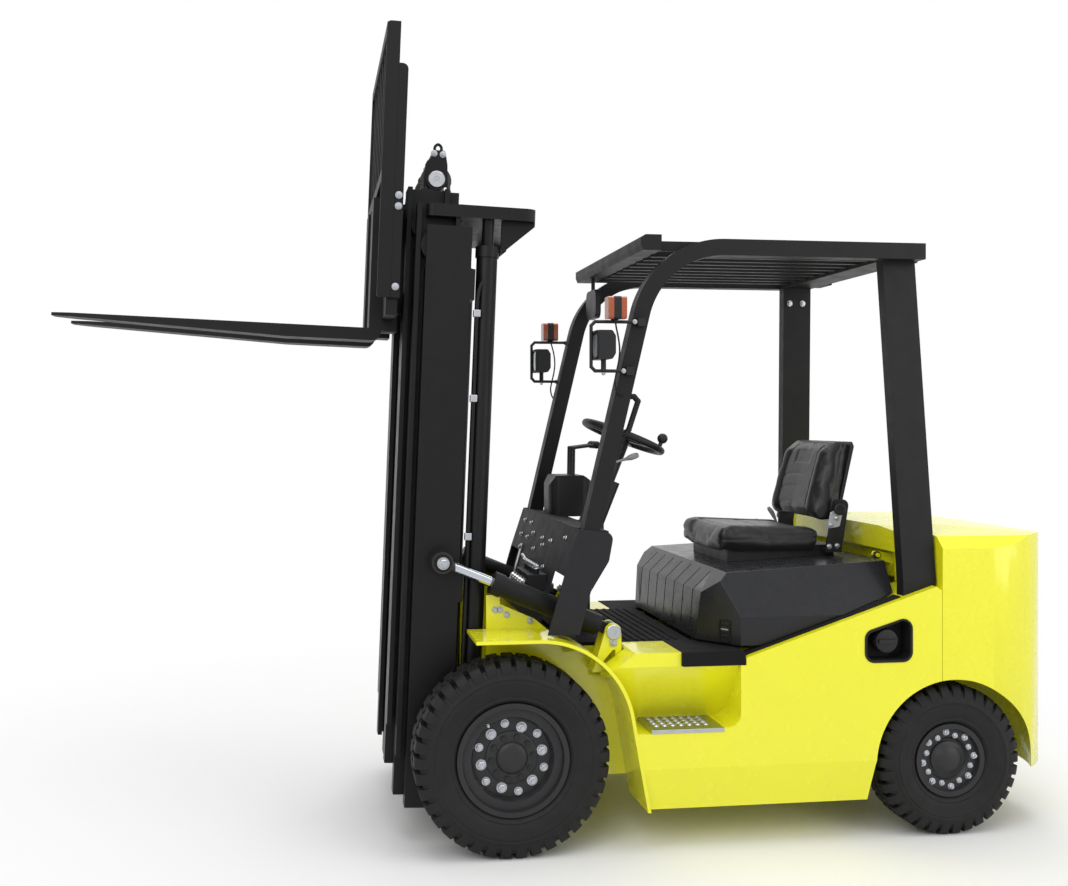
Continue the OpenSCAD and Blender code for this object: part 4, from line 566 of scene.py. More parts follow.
def curve_points(points, count):
    """Points spread evenly along a smooth curve through the given points."""
    knots = [Vector(point) for point in points]
    dense = []
    for index in range(len(knots) - 1):
        before = knots[max(index - 1, 0)]
        start, stop = knots[index], knots[index + 1]
        after = knots[min(index + 2, len(knots) - 1)]
        for step in range(CURVE_STEPS):
            t = step / CURVE_STEPS
            bend = (2 * before - 5 * start + 4 * stop - after) * t ** 2
            swing = (3 * start - before - 3 * stop + after) * t ** 3
            dense.append(0.5 * ((2 * start) + (stop - before) * t + bend + swing))
    dense.append(knots[-1])
    reach = [0.0]
    for first, second in zip(dense, dense[1:]):
        reach.append(reach[-1] + (second - first).length)
    made = []
    at = 0
    for index in range(count):
        goal = reach[-1] * index / (count - 1)
        while at < len(dense) - 2 and reach[at + 1] < goal:
            at += 1
        span = max(reach[at + 1] - reach[at], 1e-9)
        made.append(dense[at].lerp(dense[at + 1], min(1.0, (goal - reach[at]) / span)))
    return made


# Geometry Nodes: trees that set bolts, stitches and collars on points

def new_tree(name, **sizes):
    """A geometry tree and its entry, with named sizes in metres and a finish among its inputs."""
    tree = bpy.data.node_groups.new(name, "GeometryNodeTree")
    for way in ("INPUT", "OUTPUT"):
        tree.interface.new_socket("Geometry", in_out=way, socket_type="NodeSocketGeometry")
    for size_name, size in sizes.items():
        made = tree.interface.new_socket(size_name.replace("_", " "), in_out="INPUT",
                                         socket_type="NodeSocketFloat")
        made.default_value = size
    tree.interface.new_socket("Finish", in_out="INPUT", socket_type="NodeSocketMaterial")
    return tree, tree.nodes.new("NodeGroupInput")


def set_on_points(tree, entry, shapes):
    """Joins shapes, copies them onto every point with Z along its aim, and gives them the finish."""
    joined = tree.nodes.new("GeometryNodeJoinGeometry")
    for shape in shapes:
        tree.links.new(shape, joined.inputs["Geometry"])
    aim = tree.nodes.new("GeometryNodeInputNamedAttribute")
    aim.data_type = "FLOAT_VECTOR"
    fill(tree, aim, Name="aim")
    turn = tree.nodes.new("FunctionNodeAlignRotationToVector")
    turn.axis = "Z"
    fill(tree, turn, Vector=aim.outputs["Attribute"])
    copies = node(tree, "GeometryNodeInstanceOnPoints", Points=entry.outputs["Geometry"],
                  Instance=joined.outputs["Geometry"], Rotation=turn.outputs["Rotation"])
    real = node(tree, "GeometryNodeRealizeInstances", Geometry=copies.outputs["Instances"])
    coat = node(tree, "GeometryNodeSetMaterial", Geometry=real.outputs["Geometry"],
                Material=entry.outputs["Finish"])
    node(tree, "NodeGroupOutput", Geometry=coat.outputs["Geometry"])
    return tree


def scaled(tree, socket, factor):
    """A number times a factor."""
    return maths(tree, "MULTIPLY", socket, factor)


def raised(tree, mesh, height):
    """A shape moved up by a height."""
    vector = node(tree, "ShaderNodeCombineXYZ", Z=height)
    moved = node(tree, "GeometryNodeTransform", Geometry=mesh, Translation=vector.outputs["Vector"])
    return moved.outputs["Geometry"]


def turned_blank(tree, sides, low_radius, high_radius, depth):
    """A cone or cylinder standing on its foot."""
    return node(tree, "GeometryNodeMeshCone", Vertices=sides, Radius_Bottom=low_radius,
                Radius_Top=high_radius, Depth=depth).outputs["Mesh"]


# Shares of a bolt head's height
WASHER_SHARE = 0.22
EDGE_SHARE = 0.14
STUD_FOOT = 1.34


def bolt_tree():
    """A washer, a hexagon head with a broken edge and a stud end, on every point."""
    tree, entry = new_tree("bolts", Head_radius=0.01, Head_height=0.008, Washer_radius=0.014,
                           Stud_radius=0.005)
    head, washer, stud = [entry.outputs[name + " radius"] for name in ("Head", "Washer", "Stud")]
    height = entry.outputs["Head height"]
    thin = scaled(tree, height, WASHER_SHARE)
    rim = scaled(tree, height, EDGE_SHARE)
    edge = turned_blank(tree, 6, head, scaled(tree, head, 0.86), rim)
    end = turned_blank(tree, 12, stud, scaled(tree, stud, 0.8), scaled(tree, height, 0.4))
    return set_on_points(tree, entry, (
        turned_blank(tree, 20, washer, scaled(tree, washer, 0.94), thin),
        raised(tree, turned_blank(tree, 6, head, head, height), thin),
        raised(tree, edge, scaled(tree, height, 1 + WASHER_SHARE)),
        raised(tree, end, scaled(tree, height, STUD_FOOT))))


def stitch_tree():
    """A short round thread on every point, along its aim."""
    tree, entry = new_tree("stitches", Thread_radius=0.0012, Stitch_length=0.007)
    thread = entry.outputs["Thread radius"]
    half = scaled(tree, entry.outputs["Stitch length"], 0.5)
    near, far = [turned_blank(tree, 6, thread, scaled(tree, thread, 0.4), half) for end in range(2)]
    flip = node(tree, "GeometryNodeTransform", Geometry=far, Rotation=(math.pi, 0, 0))
    return set_on_points(tree, entry, (near, flip.outputs["Geometry"]))


def collar_tree():
    """A raised collar, open in its middle, on every point."""
    tree, entry = new_tree("collars", Foot_radius=0.011, Lip_radius=0.0086, Height=0.003)
    lip = entry.outputs["Lip radius"]
    rings = []
    for radius in (entry.outputs["Foot radius"], scaled(tree, lip, 0.93)):
        cone = node(tree, "GeometryNodeMeshCone", Vertices=16, Radius_Bottom=radius, Radius_Top=lip,
                    Depth=entry.outputs["Height"])
        cone.fill_type = "NONE"
        rings.append(cone.outputs["Mesh"])
    inside = node(tree, "GeometryNodeFlipFaces", Mesh=rings[1])
    return set_on_points(tree, entry, (rings[0], inside.outputs["Mesh"]))


TREES = {"bolts": bolt_tree(), "stitches": stitch_tree(), "collars": collar_tree()}


def set_along(name, kind, spots, material, body, slot, place=TRUCK, **sizes):
    """Runs a tree on points given as (place, aim) in millimetres, and keeps the result as a plain mesh."""
    points = bpy.data.meshes.new(name + "_points")
    points.from_pydata([place @ Vector(at) for at, aim in spots], [], [])
    aims = points.attributes.new("aim", "FLOAT_VECTOR", "POINT")
    turn = place.to_3x3().normalized()
    for index, (at, aim) in enumerate(spots):
        aims.data[index].vector = (turn @ Vector(aim)).normalized()
    maker = bpy.data.objects.new(name + "_maker", points)
    modifier = maker.modifiers.new("set", "NODES")
    tree = TREES[kind]
    modifier.node_group = tree
    sockets = {item.name: item.identifier for item in tree.interface.items_tree if item.in_out == "INPUT"}
    modifier[sockets["Finish"]] = material
    for size_name, size in sizes.items():
        modifier[sockets[size_name.replace("_", " ")]] = size * MM
    bpy.context.scene.collection.objects.link(maker)
    evaluated = maker.evaluated_get(bpy.context.evaluated_depsgraph_get())
    mesh = bpy.data.meshes.new_from_object(evaluated)
    mesh.name = name
    if "aim" in mesh.attributes:
        mesh.attributes.remove(mesh.attributes["aim"])
    maker.modifiers.remove(modifier)
    bpy.data.objects.remove(maker)
    bpy.data.meshes.remove(points)
    smooth(mesh, FITTING_ANGLE)
    made = mesh_object(name, mesh, [])
    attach(made, body)
    return made


def bolts(name, spots, body, head, place=TRUCK, material=None, slot="steel"):
    """Hexagon bolts with washers; head is the radius over the corners."""
    return set_along(name, "bolts", spots, material or zinc, body, slot, place, Head_radius=head,
                     Head_height=head * 0.75, Washer_radius=head * 1.35, Stud_radius=head * 0.5)


def both_sides(spots):
    """The spots and their mirror images on the other side."""
    return spots + [((x, -y, z), (u, -v, w)) for (x, y, z), (u, v, w) in spots]


def side_bolts(name, places, body, head, aim=-1, place=TRUCK):
    """Bolts on the left side and their mirror images; aim is -1 where they face out, 1 where they face in."""
    return bolts(name, both_sides([(at, (0, aim, 0)) for at in places]), body, head, place)


# Tyres: a turned casing with sidewall rings, staggered shoulder lugs and a zigzag groove round the middle

LUG_DEPTH = 20.0
GROOVE_SHARE = 0.28
SHOULDER = 45.0
SHOULDER_DIP = 7.0
WALL_DRAFT = 0.022
# Shares of a tyre's half width
LUG_REACH = 0.32
ZIGZAG_REACH = 0.2
ZIGZAG_SWING = 0.07


def tyre_profile(radius, half, bead):
    """Half of a tyre's section, from the bead to the middle of the tread, as radius and offset."""
    wide = (radius + bead) / 2 + 6
    wall = [(bead + rise, half - dip) for rise, dip in (
        (0, 36), (8, 27), (18, 18), (24, 10), (28, 6.5), (32, 5.5), (36, 7.0), (40, 5.0))]
    bulge = [((bead + 40 + wide) / 2, half - 2.2), (wide - 4, half - 0.6), (wide + 2, half)]
    shoulder = [(radius - drop, half - dip) for drop, dip in (
        (66, 2.2), (62, 0.6), (56, 0.8), (52, 3.4), (46, 4.4), (44, 4.6), (34, 6), (24, 8.5), (15, 12),
        (7, 18), (2, 23), (0, 28), (0, 42))]
    tread = [(radius - drop, half * share) for drop, share in (
        (0, 0.36), (0, 0.30), (1, 0.16), (9, 0.12), (9, 0.0))]
    return wall + bulge + shoulder + tread


def tyre(name, centre, radius, width, bead, lugs, body, node_name):
    """A tyre that stands for its solid."""
    half = width / 2
    near = tyre_profile(radius, half, bead)
    section = [(r, y, 1) for r, y in near] + [(r, -y, -1) for r, y in reversed(near[:-1])]
    edge = GROOVE_SHARE / 2
    steps = (-edge - WALL_DRAFT, -edge, 0.0, edge, edge + WALL_DRAFT)
    marks = [middle + step for middle in (0.0, 0.5) for step in steps] + [0.25, 0.75]
    marks = sorted(set(round(mark % 1.0, 5) for mark in marks))
    reach = half * LUG_REACH
    shape = bmesh.new()
    columns = []
    for lug in range(lugs):
        for mark in marks:
            angle = 2 * math.pi * (lug + mark) / lugs
            column = []
            for r, y, side in section:
                off = abs((mark - (0.0 if side > 0 else 0.5) + 0.5) % 1.0 - 0.5)
                if off <= edge + 0.001 and abs(y) >= reach and r > radius - SHOULDER:
                    y -= side * SHOULDER_DIP * min(1.0, (r - radius + SHOULDER) / LUG_DEPTH)
                    r = min(r, radius - LUG_DEPTH)
                if abs(y) < half * ZIGZAG_REACH:
                    y += half * ZIGZAG_SWING * (1 - 4 * abs((2 * mark) % 1.0 - 0.5))
                column.append(shape.verts.new((centre[0] + r * math.cos(angle), centre[1] + y,
                                               centre[2] + r * math.sin(angle))))
            columns.append(column)
    for first, second in zip(columns, columns[1:] + columns[:1]):
        for low, high in zip(range(len(section)), range(1, len(section))):
            shape.faces.new((first[low], first[high], second[high], second[low]))
        shape.faces.new((first[-1], first[0], second[0], second[-1]))
    made = piece(name, shape, tyre_rubber, body, "tyre")
    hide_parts(node_name)


def wheel_ring(count, radius, centre, side, turn=0.0):
    """Spots round a wheel's disc, facing outward."""
    made = []
    for index in range(count):
        angle = 2 * math.pi * index / count + turn
        made.append(((centre[0] + radius * math.cos(angle), centre[1], centre[2] + radius * math.sin(angle)),
                     (0, side, 0)))
    return made


RIM_DIP = 13.7
VALVE_R, VALVE_TURN, VALVE_OUT = 148, 2.2, 24
HUB_OUT = 40
HUB_BOLTS_OUT = 6.6
# Turned profiles, as radius and distance along the axis
FRONT_HUB = [(48, 0.2), (48, 15), (44, 17), (0, 17), (0, 23), (30, 22), (44, 20), (53, 14), (56, 8), (84, 7),
             (90, 4), (92, 0.2), (48, 0.2)]
REAR_HUB = [(37, 0.3), (37, 16), (34, 18), (0, 18), (0, 27), (20, 25.5), (38, 20), (50, 12), (56, 8), (63, 6),
            (64, 0.3), (37, 0.3)]
VALVE = [(0, -14), (5, -14), (5, 8), (4, 9), (4, 22), (2.6, 23), (2.6, 27), (0, 27.4)]
# Tyres as radius, width, bead and lugs; rings of bolts as count, radius, first angle and head
WHEELS = {
    "front": {
        "middle": (0.0, FRONT_WHEEL_Y, FRONT_AXLE_Z), "tyre": (FRONT_AXLE_Z, 190.0, 194.0 - RIM_DIP, 38),
        "disc_out": 40, "hub": FRONT_HUB,
        "rings": {"wheel_nuts": (6, 108, 0.20, 14.5), "rim_bolts": (6, 119, 0.20 + math.pi / 6, 11.5)},
    },
    "rear": {
        "middle": (WHEELBASE, REAR_WHEEL_Y, REAR_AXLE_Z), "tyre": (REAR_AXLE_Z, 160.0, 131.0 - RIM_DIP, 34),
        "disc_out": 52, "hub": REAR_HUB,
        "rings": {"wheel_nuts": (8, 99, 0.1, 9.5), "rim_bolts": (8, 88, 0.1 + math.pi / 8, 8.0)},
    },
}
for side, sign in SIDES.items():
    out = (0, sign, 0)
    for axle, wheel in WHEELS.items():
        body = f"{axle}_wheel_{side}"
        x, y, z = wheel["middle"]
        tyre(f"{axle}_tyre_tread_{side}", (x, sign * y, z), *wheel["tyre"], body, f"{axle}_tyre_{side}")
        face = (x, sign * (y + wheel["disc_out"]), z)
        for ring, (count, radius, turn, head) in wheel["rings"].items():
            bolts(f"{axle}_{ring}_{side}", wheel_ring(count, radius, face, sign, turn), body, head)
        hub = (x, sign * (y + HUB_OUT), z)
        drawn(f"{axle}_hub_cover_{side}", lathe, (wheel["hub"], hub, out, 64), rim_grey, body, "wheel_grey")
        if axle == "front":
            rim = (x, face[1] + sign * HUB_BOLTS_OUT, z)
            bolts(f"front_hub_bolts_{side}", wheel_ring(10, 73, rim, sign, 0.1), body, 9.0, material=rim_grey,
                  slot="wheel_grey")
            stem = (VALVE_R * math.cos(VALVE_TURN), face[1] + sign * VALVE_OUT,
                    z + VALVE_R * math.sin(VALVE_TURN))
            drawn(f"front_valve_{side}", lathe, (VALVE, stem, out, 16), brushed_tin, body, "steel")

# Lamps: ribbed lenses in the head lamps, amber and black turn lamps, framed tail lamps

LAMP_Y, LAMP_Z = 520.0, 1753.0
LENS_STEPS = 36
LENS_SQUEEZE = 0.22
LENS_RIB = 0.7


def lens(shape, x, y, z, half, dome, ribs):
    """A domed glass with upright ribs that faces forward."""
    grid = []
    for row in range(LENS_STEPS + 1):
        line = []
        for column in range(LENS_STEPS + 1):
            u = 2 * column / LENS_STEPS - 1
            v = 2 * row / LENS_STEPS - 1
            squeeze = math.sqrt(max(0.0, 1 - LENS_SQUEEZE * u * u * v * v))
            bulge = dome * (1 - 0.5 * (u * u + v * v)) + LENS_RIB * math.cos(math.pi * ribs * u)
            line.append(shape.verts.new((x - bulge, y + half * u * squeeze, z + half * v * squeeze)))
        grid.append(line)
    for low, high in zip(grid, grid[1:]):
        for column in range(LENS_STEPS):
            shape.faces.new((low[column], low[column + 1], high[column + 1], high[column]))
    border = (grid[0] + [line[-1] for line in grid[1:]] + list(reversed(grid[-1][:-1]))
              + [line[0] for line in reversed(grid[1:-1])])
    back = [shape.verts.new((x + 1.5, vert.co.y, vert.co.z)) for vert in border]
    bridge(shape, border, back)
    shape.faces.new(back)


def square(y, z, half, radius, tall=None):
    """A rounded rectangle about a middle."""
    tall = half if tall is None else tall
    low, high = z - tall, z + tall
    return rounded([(y - half, low), (y + half, low), (y + half, high), (y - half, high)], radius)


glasses, bezels = bmesh.new(), bmesh.new()
for sign in SIDES.values():
    y = sign * LAMP_Y
    lens(glasses, 299.5, y, LAMP_Z, 40.5, 2.6, 9)
    frame_ring(bezels, square(y, LAMP_Z, 50.5, 12), square(y, LAMP_Z, 41.0, 9), 291.5, 298, facing_x)
piece("head_lamp_glasses", glasses, lamp_glass, "chassis", "steel")
piece("head_lamp_bezels", bezels, trim_black, "chassis", "plastic", edge=1.6)
bolts("lamp_foot_bolts", both_sides([((325, -LAMP_Y, 1657), (0, 0, -1)), ((394, -532, 1664), (0, -1, 0)),
                                     ((434, -532, 1835), (0, -1, 0))]), "chassis", 6.5)

TURN_X, TURN_Y, TURN_Z = 365.0, 535.0, 1881.4
TURN_LENSES = ((332.5, 352), (378, 397.5))
TURN_RIB_PITCH, TURN_RIB_HALF = 7.6, 2.4
ambers, cases = bmesh.new(), bmesh.new()
for sign in SIDES.values():
    y = sign * TURN_Y
    for x0, x1 in TURN_LENSES:
        prism(ambers, square(y, TURN_Z, 28.5, 9, 38.5), x0, x1, facing_x)
        rib_x0, rib_x1 = (x0 - 0.8, x0 + 1) if x0 < TURN_X else (x1 - 1, x1 + 0.8)
        for rib in range(-4, 5):
            z = TURN_Z + rib * TURN_RIB_PITCH
            box(ambers, (rib_x0, y - 22, z - TURN_RIB_HALF), (rib_x1, y + 22, z + TURN_RIB_HALF))
    prism(cases, square(y, TURN_Z, 30, 10, 40), 351.5, 378.5, facing_x)
    tube(cases, [(TURN_X, sign * (LAMP_Y + 6), 1834), (TURN_X, sign * (LAMP_Y + 10), 1843)], 9)
lamps = piece("turn_lamp_lenses", ambers, amber_lens, "chassis", "amber", edge=2.5)
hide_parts("turn_lamps")
piece("turn_lamp_cases", cases, moulded_black, "chassis", "plastic", edge=2.5)

TAIL_Y, TAIL_Z = 345, 2102
TAIL_RIB_PITCH, TAIL_RIB_HALF = 5.9, 1.9
frames, ribs = bmesh.new(), bmesh.new()
for sign in SIDES.values():
    y = sign * TAIL_Y
    frame_ring(frames, square(y, TAIL_Z, 60, 8, 24), square(y, TAIL_Z, 51, 5, 15.5), 1526, 1556, facing_x)
    for rib in range(-8, 9):
        middle = y + rib * TAIL_RIB_PITCH
        box(ribs, (1552, middle - TAIL_RIB_HALF, TAIL_Z - 13), (1554.4, middle + TAIL_RIB_HALF, TAIL_Z + 13))
piece("tail_lamp_frames", frames, trim_black, "chassis", "plastic", edge=1.5)
piece("tail_lamp_ribs", ribs, red_lens, "chassis", "red", edge=0.6)

MIRROR = (330, 1983)
mirror_sizes = (square(*MIRROR, 72, 24, 52), 517, 519.6, facing_x)
drawn("mirror_glass", prism, mirror_sizes, mirror_face, "chassis", "steel", edge=0.8)
rim_sizes = (square(*MIRROR, 80.5, 30, 60.5), square(*MIRROR, 72.6, 24.5, 52.6), 514, 521, facing_x)
drawn("mirror_rim", frame_ring, rim_sizes, trim_black, "chassis", "plastic", edge=1.5)

# Lamp cables, from the turn lamp's foot past the head lamp into the leg
CABLE_ROUTE = ((366, 524, 1841), (372, 516, 1815), (380, 514, 1780), (384, 516, 1740), (380, 519, 1700),
               (371, 521, 1660), (366, 520, 1628), (372, 516, 1598), (386, 511, 1582), (400, 505, 1580))
for side, sign in SIDES.items():
    route = curve_points([(x, sign * y, z) for x, y, z in CABLE_ROUTE], 28)
    made = drawn(f"lamp_cable_{side}", tube, (route, 3.0, 10), trim_black, "chassis", "rubber")

# Seat: cushion and back blown up as cloth, then sewn along their channels

REMESH_STEP = 0.006
CLOTH_FRAMES = 20
RELAX_STEPS = 14
PRESSURE = 4.0


def blown_pad(name, shape, cap):
    """A padded form: remeshed, swelled by pressure as cloth, with every point's move capped in metres."""
    made = mesh_object(name, to_mesh(name, shape, TRUCK), [seat_vinyl])
    remesh = made.modifiers.new("remesh", "REMESH")
    remesh.mode = "VOXEL"
    remesh.voxel_size = REMESH_STEP
    applied(made)
    start = [vert.co.copy() for vert in made.data.vertices]
    cloth = made.modifiers.new("cloth", "CLOTH")
    cloth.settings.use_pressure = True
    cloth.settings.uniform_pressure_force = PRESSURE
    cloth.settings.effector_weights.gravity = 0.0
    cloth.point_cache.frame_end = CLOTH_FRAMES
    for step in range(1, CLOTH_FRAMES + 1):
        bpy.context.scene.frame_set(step)
    applied(made)
    bpy.context.scene.frame_set(1)
    for vert, origin in zip(made.data.vertices, start):
        move = vert.co - origin
        if move.length > cap:
            vert.co = origin + move.normalized() * cap
    relax = made.modifiers.new("relax", "SMOOTH")
    relax.factor = 0.5
    relax.iterations = RELAX_STEPS
    applied(made)
    return made


def applied(made):
    """Turns an object's modifiers into its mesh."""
    evaluated = made.evaluated_get(bpy.context.evaluated_depsgraph_get())
    mesh = bpy.data.meshes.new_from_object(evaluated)
    made.modifiers.clear()
    old = made.data
    made.data = mesh
    mesh.name = old.name
    bpy.data.meshes.remove(old)


def sewn(made, depth_at):
    """Presses a pad in along its sewn lines; depth_at takes a place in millimetres and a normal."""
    back = TRUCK.inverted()
    mesh = made.data
    normals = [vert.normal.copy() for vert in mesh.vertices]
    for vert, normal in zip(mesh.vertices, normals):
        vert.co -= normal * depth_at(back @ vert.co, normal) * MM


def channel(offset, width, depth):
    """Depth of a sewn channel at a distance from its line."""
    return depth * math.exp(-(offset / width) ** 2)


def finish_pad(made, node_name):
    """Rounds a pad off and lets it stand for its solid."""
    rounding = made.modifiers.new("soft", "SUBSURF")
    rounding.levels = 1
    rounding.render_levels = 1
    smooth(made.data, PAD_ANGLE)
    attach(made, "hood")
    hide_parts(node_name)


CUSHION_LOW = 1013.5
CUSHION_HALF = 237.5
SKIRT_LOW = 992.0
SKIRT_INNER = 196.0
SKIRT_BACK = 890.0
CUSHION_SIDE = [(862, 1015), (1262, 1015), (1262, 1066), (1150, 1070), (900, 1082), (866, 1076), (856, 1052)]
# Rows across the cushion: offset from the middle and how far the top rises there
CUSHION_ROWS = ((-226, 0.0), (-214, 8.0), (-150, 12.0), (-120, 6.0), (0, 4.0), (120, 6.0), (150, 12.0),
                (214, 8.0), (226, 0.0))
rows = []
for y, rise in CUSHION_ROWS:
    tuck = 14 if abs(y) > 220 else 0
    row = []
    for x, z in CUSHION_SIDE:
        lift = rise - 12 if z > 1050 else 0
        row.append((x + (tuck if x < 1000 else -tuck), y, z + lift * 0.8))
    rows.append(row)
cushion_shape = lofted(rows)
box(cushion_shape, (860, -216, SKIRT_LOW), (886, 216, 1030))
for sign in SIDES.values():
    box(cushion_shape, (864, sign * 210 - 9, SKIRT_LOW), (1250, sign * 210 + 9, 1030))
cushion = blown_pad("cushion_pad", cushion_shape, 0.014)
PANEL_HALF = 138.0
ROLL_X, CROSS_SEAM_X, SIDE_SEAM_Z = 912, 1065, 1040


def cushion_depth(at, normal):
    """Sewn lines of the cushion: two along its sides, one behind the front roll and one across the seat."""
    depth = 0.0
    if normal.z > 0.25:
        if at.x > ROLL_X - 7:
            depth += channel(abs(at.y) - PANEL_HALF, 5.5, 5.5)
        if abs(at.y) < PANEL_HALF + 4:
            depth += channel(at.x - ROLL_X, 6.0, 5.0)
            depth += channel(at.x - CROSS_SEAM_X, 6.0, 3.5)
    if abs(normal.z) < 0.6:
        depth += channel(at.z - SIDE_SEAM_Z, 3.5, 3.0)
    return depth


sewn(cushion, cushion_depth)
for vert in cushion.data.vertices:
    skirted = abs(vert.co.y) > SKIRT_INNER * MM or vert.co.x < spot(SKIRT_BACK, 0, 0).x
    vert.co.z = max(vert.co.z, (SKIRT_LOW if skirted else CUSHION_LOW) * MM)
    vert.co.y = max(min(vert.co.y, CUSHION_HALF * MM), -CUSHION_HALF * MM)
finish_pad(cushion, "seat_cushion")

BACK_SIDE = [(1240, 1134), (1252, 1104), (1330, 1110), (1396, 1400), (1384, 1418), (1340, 1418), (1306, 1372),
             (1268, 1250)]
# Rows across the back: offset from the middle and how far the bolsters stand forward there
BACK_ROWS = ((-212, 0.0), (-196, 10.0), (-158, 14.0), (-128, 3.0), (0, 0.0), (128, 3.0), (158, 14.0),
             (196, 10.0), (212, 0.0))
FRONT_POINTS = (0, 6, 7)
NARROW_FROM, NARROW_SHARE = 1330, 0.16


def narrowing(z):
    """Share of the back's width that is left at a height."""
    return 1.0 - NARROW_SHARE * max(0.0, (z - NARROW_FROM) / 100)


rows = []
for y, swell in BACK_ROWS:
    row = []
    for index, (x, z) in enumerate(BACK_SIDE):
        forward = swell if index in FRONT_POINTS else 0.0
        row.append((x - forward + 8, y * narrowing(z), z))
    rows.append(row)
back_shape = lofted(rows)
backrest_pad = blown_pad("seat_back_pad", back_shape, 0.010)
BOLSTER_Y = 128.0
BACK_HALF = 223.5
CREASES = (1170, 1232, 1282)
CREASE_BOW = 14
INSET_HALF, INSET_Z, INSET_TALL, INSET_EDGE, INSET_DEPTH = 70, 1350, 28, 5, 3.5
SHELL_SEAM_X, SHELL_SEAM_Z, SHELL_LEAN = 1302, 1104, 0.23


def back_depth(at, normal):
    """Sewn lines of the back: bolsters, three creases, the inset at the top and the seam round the shell."""
    depth = 0.0
    if normal.x < -0.35:
        if 1120 < at.z < 1395:
            depth += channel(abs(at.y) - BOLSTER_Y * narrowing(at.z), 5.0, 5.0)
        if abs(at.y) < BOLSTER_Y:
            bow = CREASE_BOW * (at.y / BOLSTER_Y) ** 2
            for crease in CREASES:
                depth += channel(at.z + bow - crease, 5.0, 3.6)
        inside_y = max(0.0, min(1.0, (INSET_HALF - abs(at.y)) / INSET_EDGE))
        inside_z = max(0.0, min(1.0, (INSET_TALL - abs(at.z - INSET_Z)) / INSET_EDGE))
        depth += INSET_DEPTH * inside_y * inside_z
    elif abs(normal.y) > 0.6 or normal.z > 0.7:
        line = SHELL_SEAM_X + (at.z - SHELL_SEAM_Z) * SHELL_LEAN
        depth += channel(at.x - line, 3.5, 3.0)
    return depth


sewn(backrest_pad, back_depth)
for vert in backrest_pad.data.vertices:
    vert.co.y = max(min(vert.co.y, BACK_HALF * MM), -BACK_HALF * MM)
finish_pad(backrest_pad, "seat_back")


def on_pad(pad, start, direction):
    """Where a line from a place in millimetres meets a pad, in millimetres, with the pad's normal there."""
    hit, at, normal, index = pad.ray_cast(TRUCK @ Vector(start), Vector(direction))
    return (TRUCK.inverted() @ at, normal) if hit else None


thread_grey = finish("thread grey", (0.05, 0.05, 0.055), 0.7, mottle=0.2, grain=0.4, grain_scale=900.0)
SEAM_X, SEAM_PITCH, SEAM_COUNT = 925, 8, 40
BACK_SEAM_Z, BACK_SEAM_PITCH, BACK_SEAM_COUNT = 1130, 10, 26
SEAM_GAP = 7.0
THREAD_LIFT = 0.3
ABOVE_SEAT_Z, BEFORE_BACK_X = 1200, 1000
stitches = []


def stitch(pad, start, direction, run):
    """Adds a stitch where a line from a place meets a pad."""
    found = on_pad(pad, start, direction)
    if found:
        stitches.append((tuple(found[0] + found[1] * THREAD_LIFT), run))


for sign in SIDES.values():
    for step in range(SEAM_COUNT):
        for offset in (-SEAM_GAP, SEAM_GAP):
            start = (SEAM_X + step * SEAM_PITCH, sign * PANEL_HALF + offset, ABOVE_SEAT_Z)
            stitch(cushion, start, (0, 0, -1), (1, 0, 0))
    for step in range(BACK_SEAM_COUNT):
        height = BACK_SEAM_Z + step * BACK_SEAM_PITCH
        across = BOLSTER_Y * narrowing(height) + SEAM_GAP
        stitch(backrest_pad, (BEFORE_BACK_X, sign * across, height), (1, 0, 0), (0.27, 0, 1))
set_along("seat_stitches", "stitches", stitches, thread_grey, "hood", "vinyl", Thread_radius=0.9,
          Stitch_length=6.0)

# Seat fittings: the recliner's plate and disc, its lever, the belt's buckle and the back's shell
SHELL_SIDE = [(1337, 1112), (1349, 1112), (1412, 1392), (1404, 1412), (1398, 1398)]
drawn("seat_shell", prism, (SHELL_SIDE, -196, 196), moulded_black, "hood", "plastic", edge=3)
RECLINER_PLATE = rounded([(1282, 1078), (1330, 1086), (1340, 1132), (1322, 1152), (1292, 1140)], 9)
RECLINER_DISC = [(0, 0), (21, 0), (22.5, 1.5), (22.5, 7), (20, 9), (12, 9.6), (11, 8), (0, 8)]
for side, sign in SIDES.items():
    plate_sizes = (RECLINER_PLATE, *sorted((sign * 236.6, sign * 241)))
    drawn(f"recliner_plate_{side}", prism, plate_sizes, brushed_tin, "hood", "steel", edge=0.9)
    disc_sizes = (RECLINER_DISC, (1328, sign * 241, 1152), (0, sign, 0), 40)
    drawn(f"recliner_disc_{side}", lathe, disc_sizes, moulded_black, "hood", "plastic")
SEAT_BOLTS = ((1296, -241, 1092), (1318, -241, 1118), (1290, -236.5, 1010), (1322, -236.5, 1012))
side_bolts("seat_bolts", SEAT_BOLTS, "hood", 8.0)
pale_plastic = finish("pale plastic", (0.30, 0.31, 0.33), 0.38, mottle=0.06, grain=0.2, grain_scale=500.0)
LEVER = curve_points([(1296, 246, 1040), (1284, 250, 1070), (1270, 252, 1100), (1252, 252, 1124)], 12)
LEVER_RADII = [5, 5, 5, 5, 6, 7, 8.5, 9.5, 10, 10, 9, 6]
drawn("recliner_lever", tube, (LEVER, LEVER_RADII, 14), pale_plastic, "hood", "plastic")
BUCKLE_STALK = curve_points([(1290, 247, 1006), (1258, 249, 1026), (1228, 250, 1046)], 10)
drawn("buckle_stalk", tube, (BUCKLE_STALK, 6.5, 12), trim_black, "hood", "plastic")
drawn("buckle_case", box, ((1196, 239, 1040), (1236, 259, 1074)), moulded_black, "hood", "plastic", edge=5)
drawn("buckle_button", box, ((1193.5, 242, 1054), (1204, 256, 1076.5)), buckle_red, "hood", "red", edge=2)

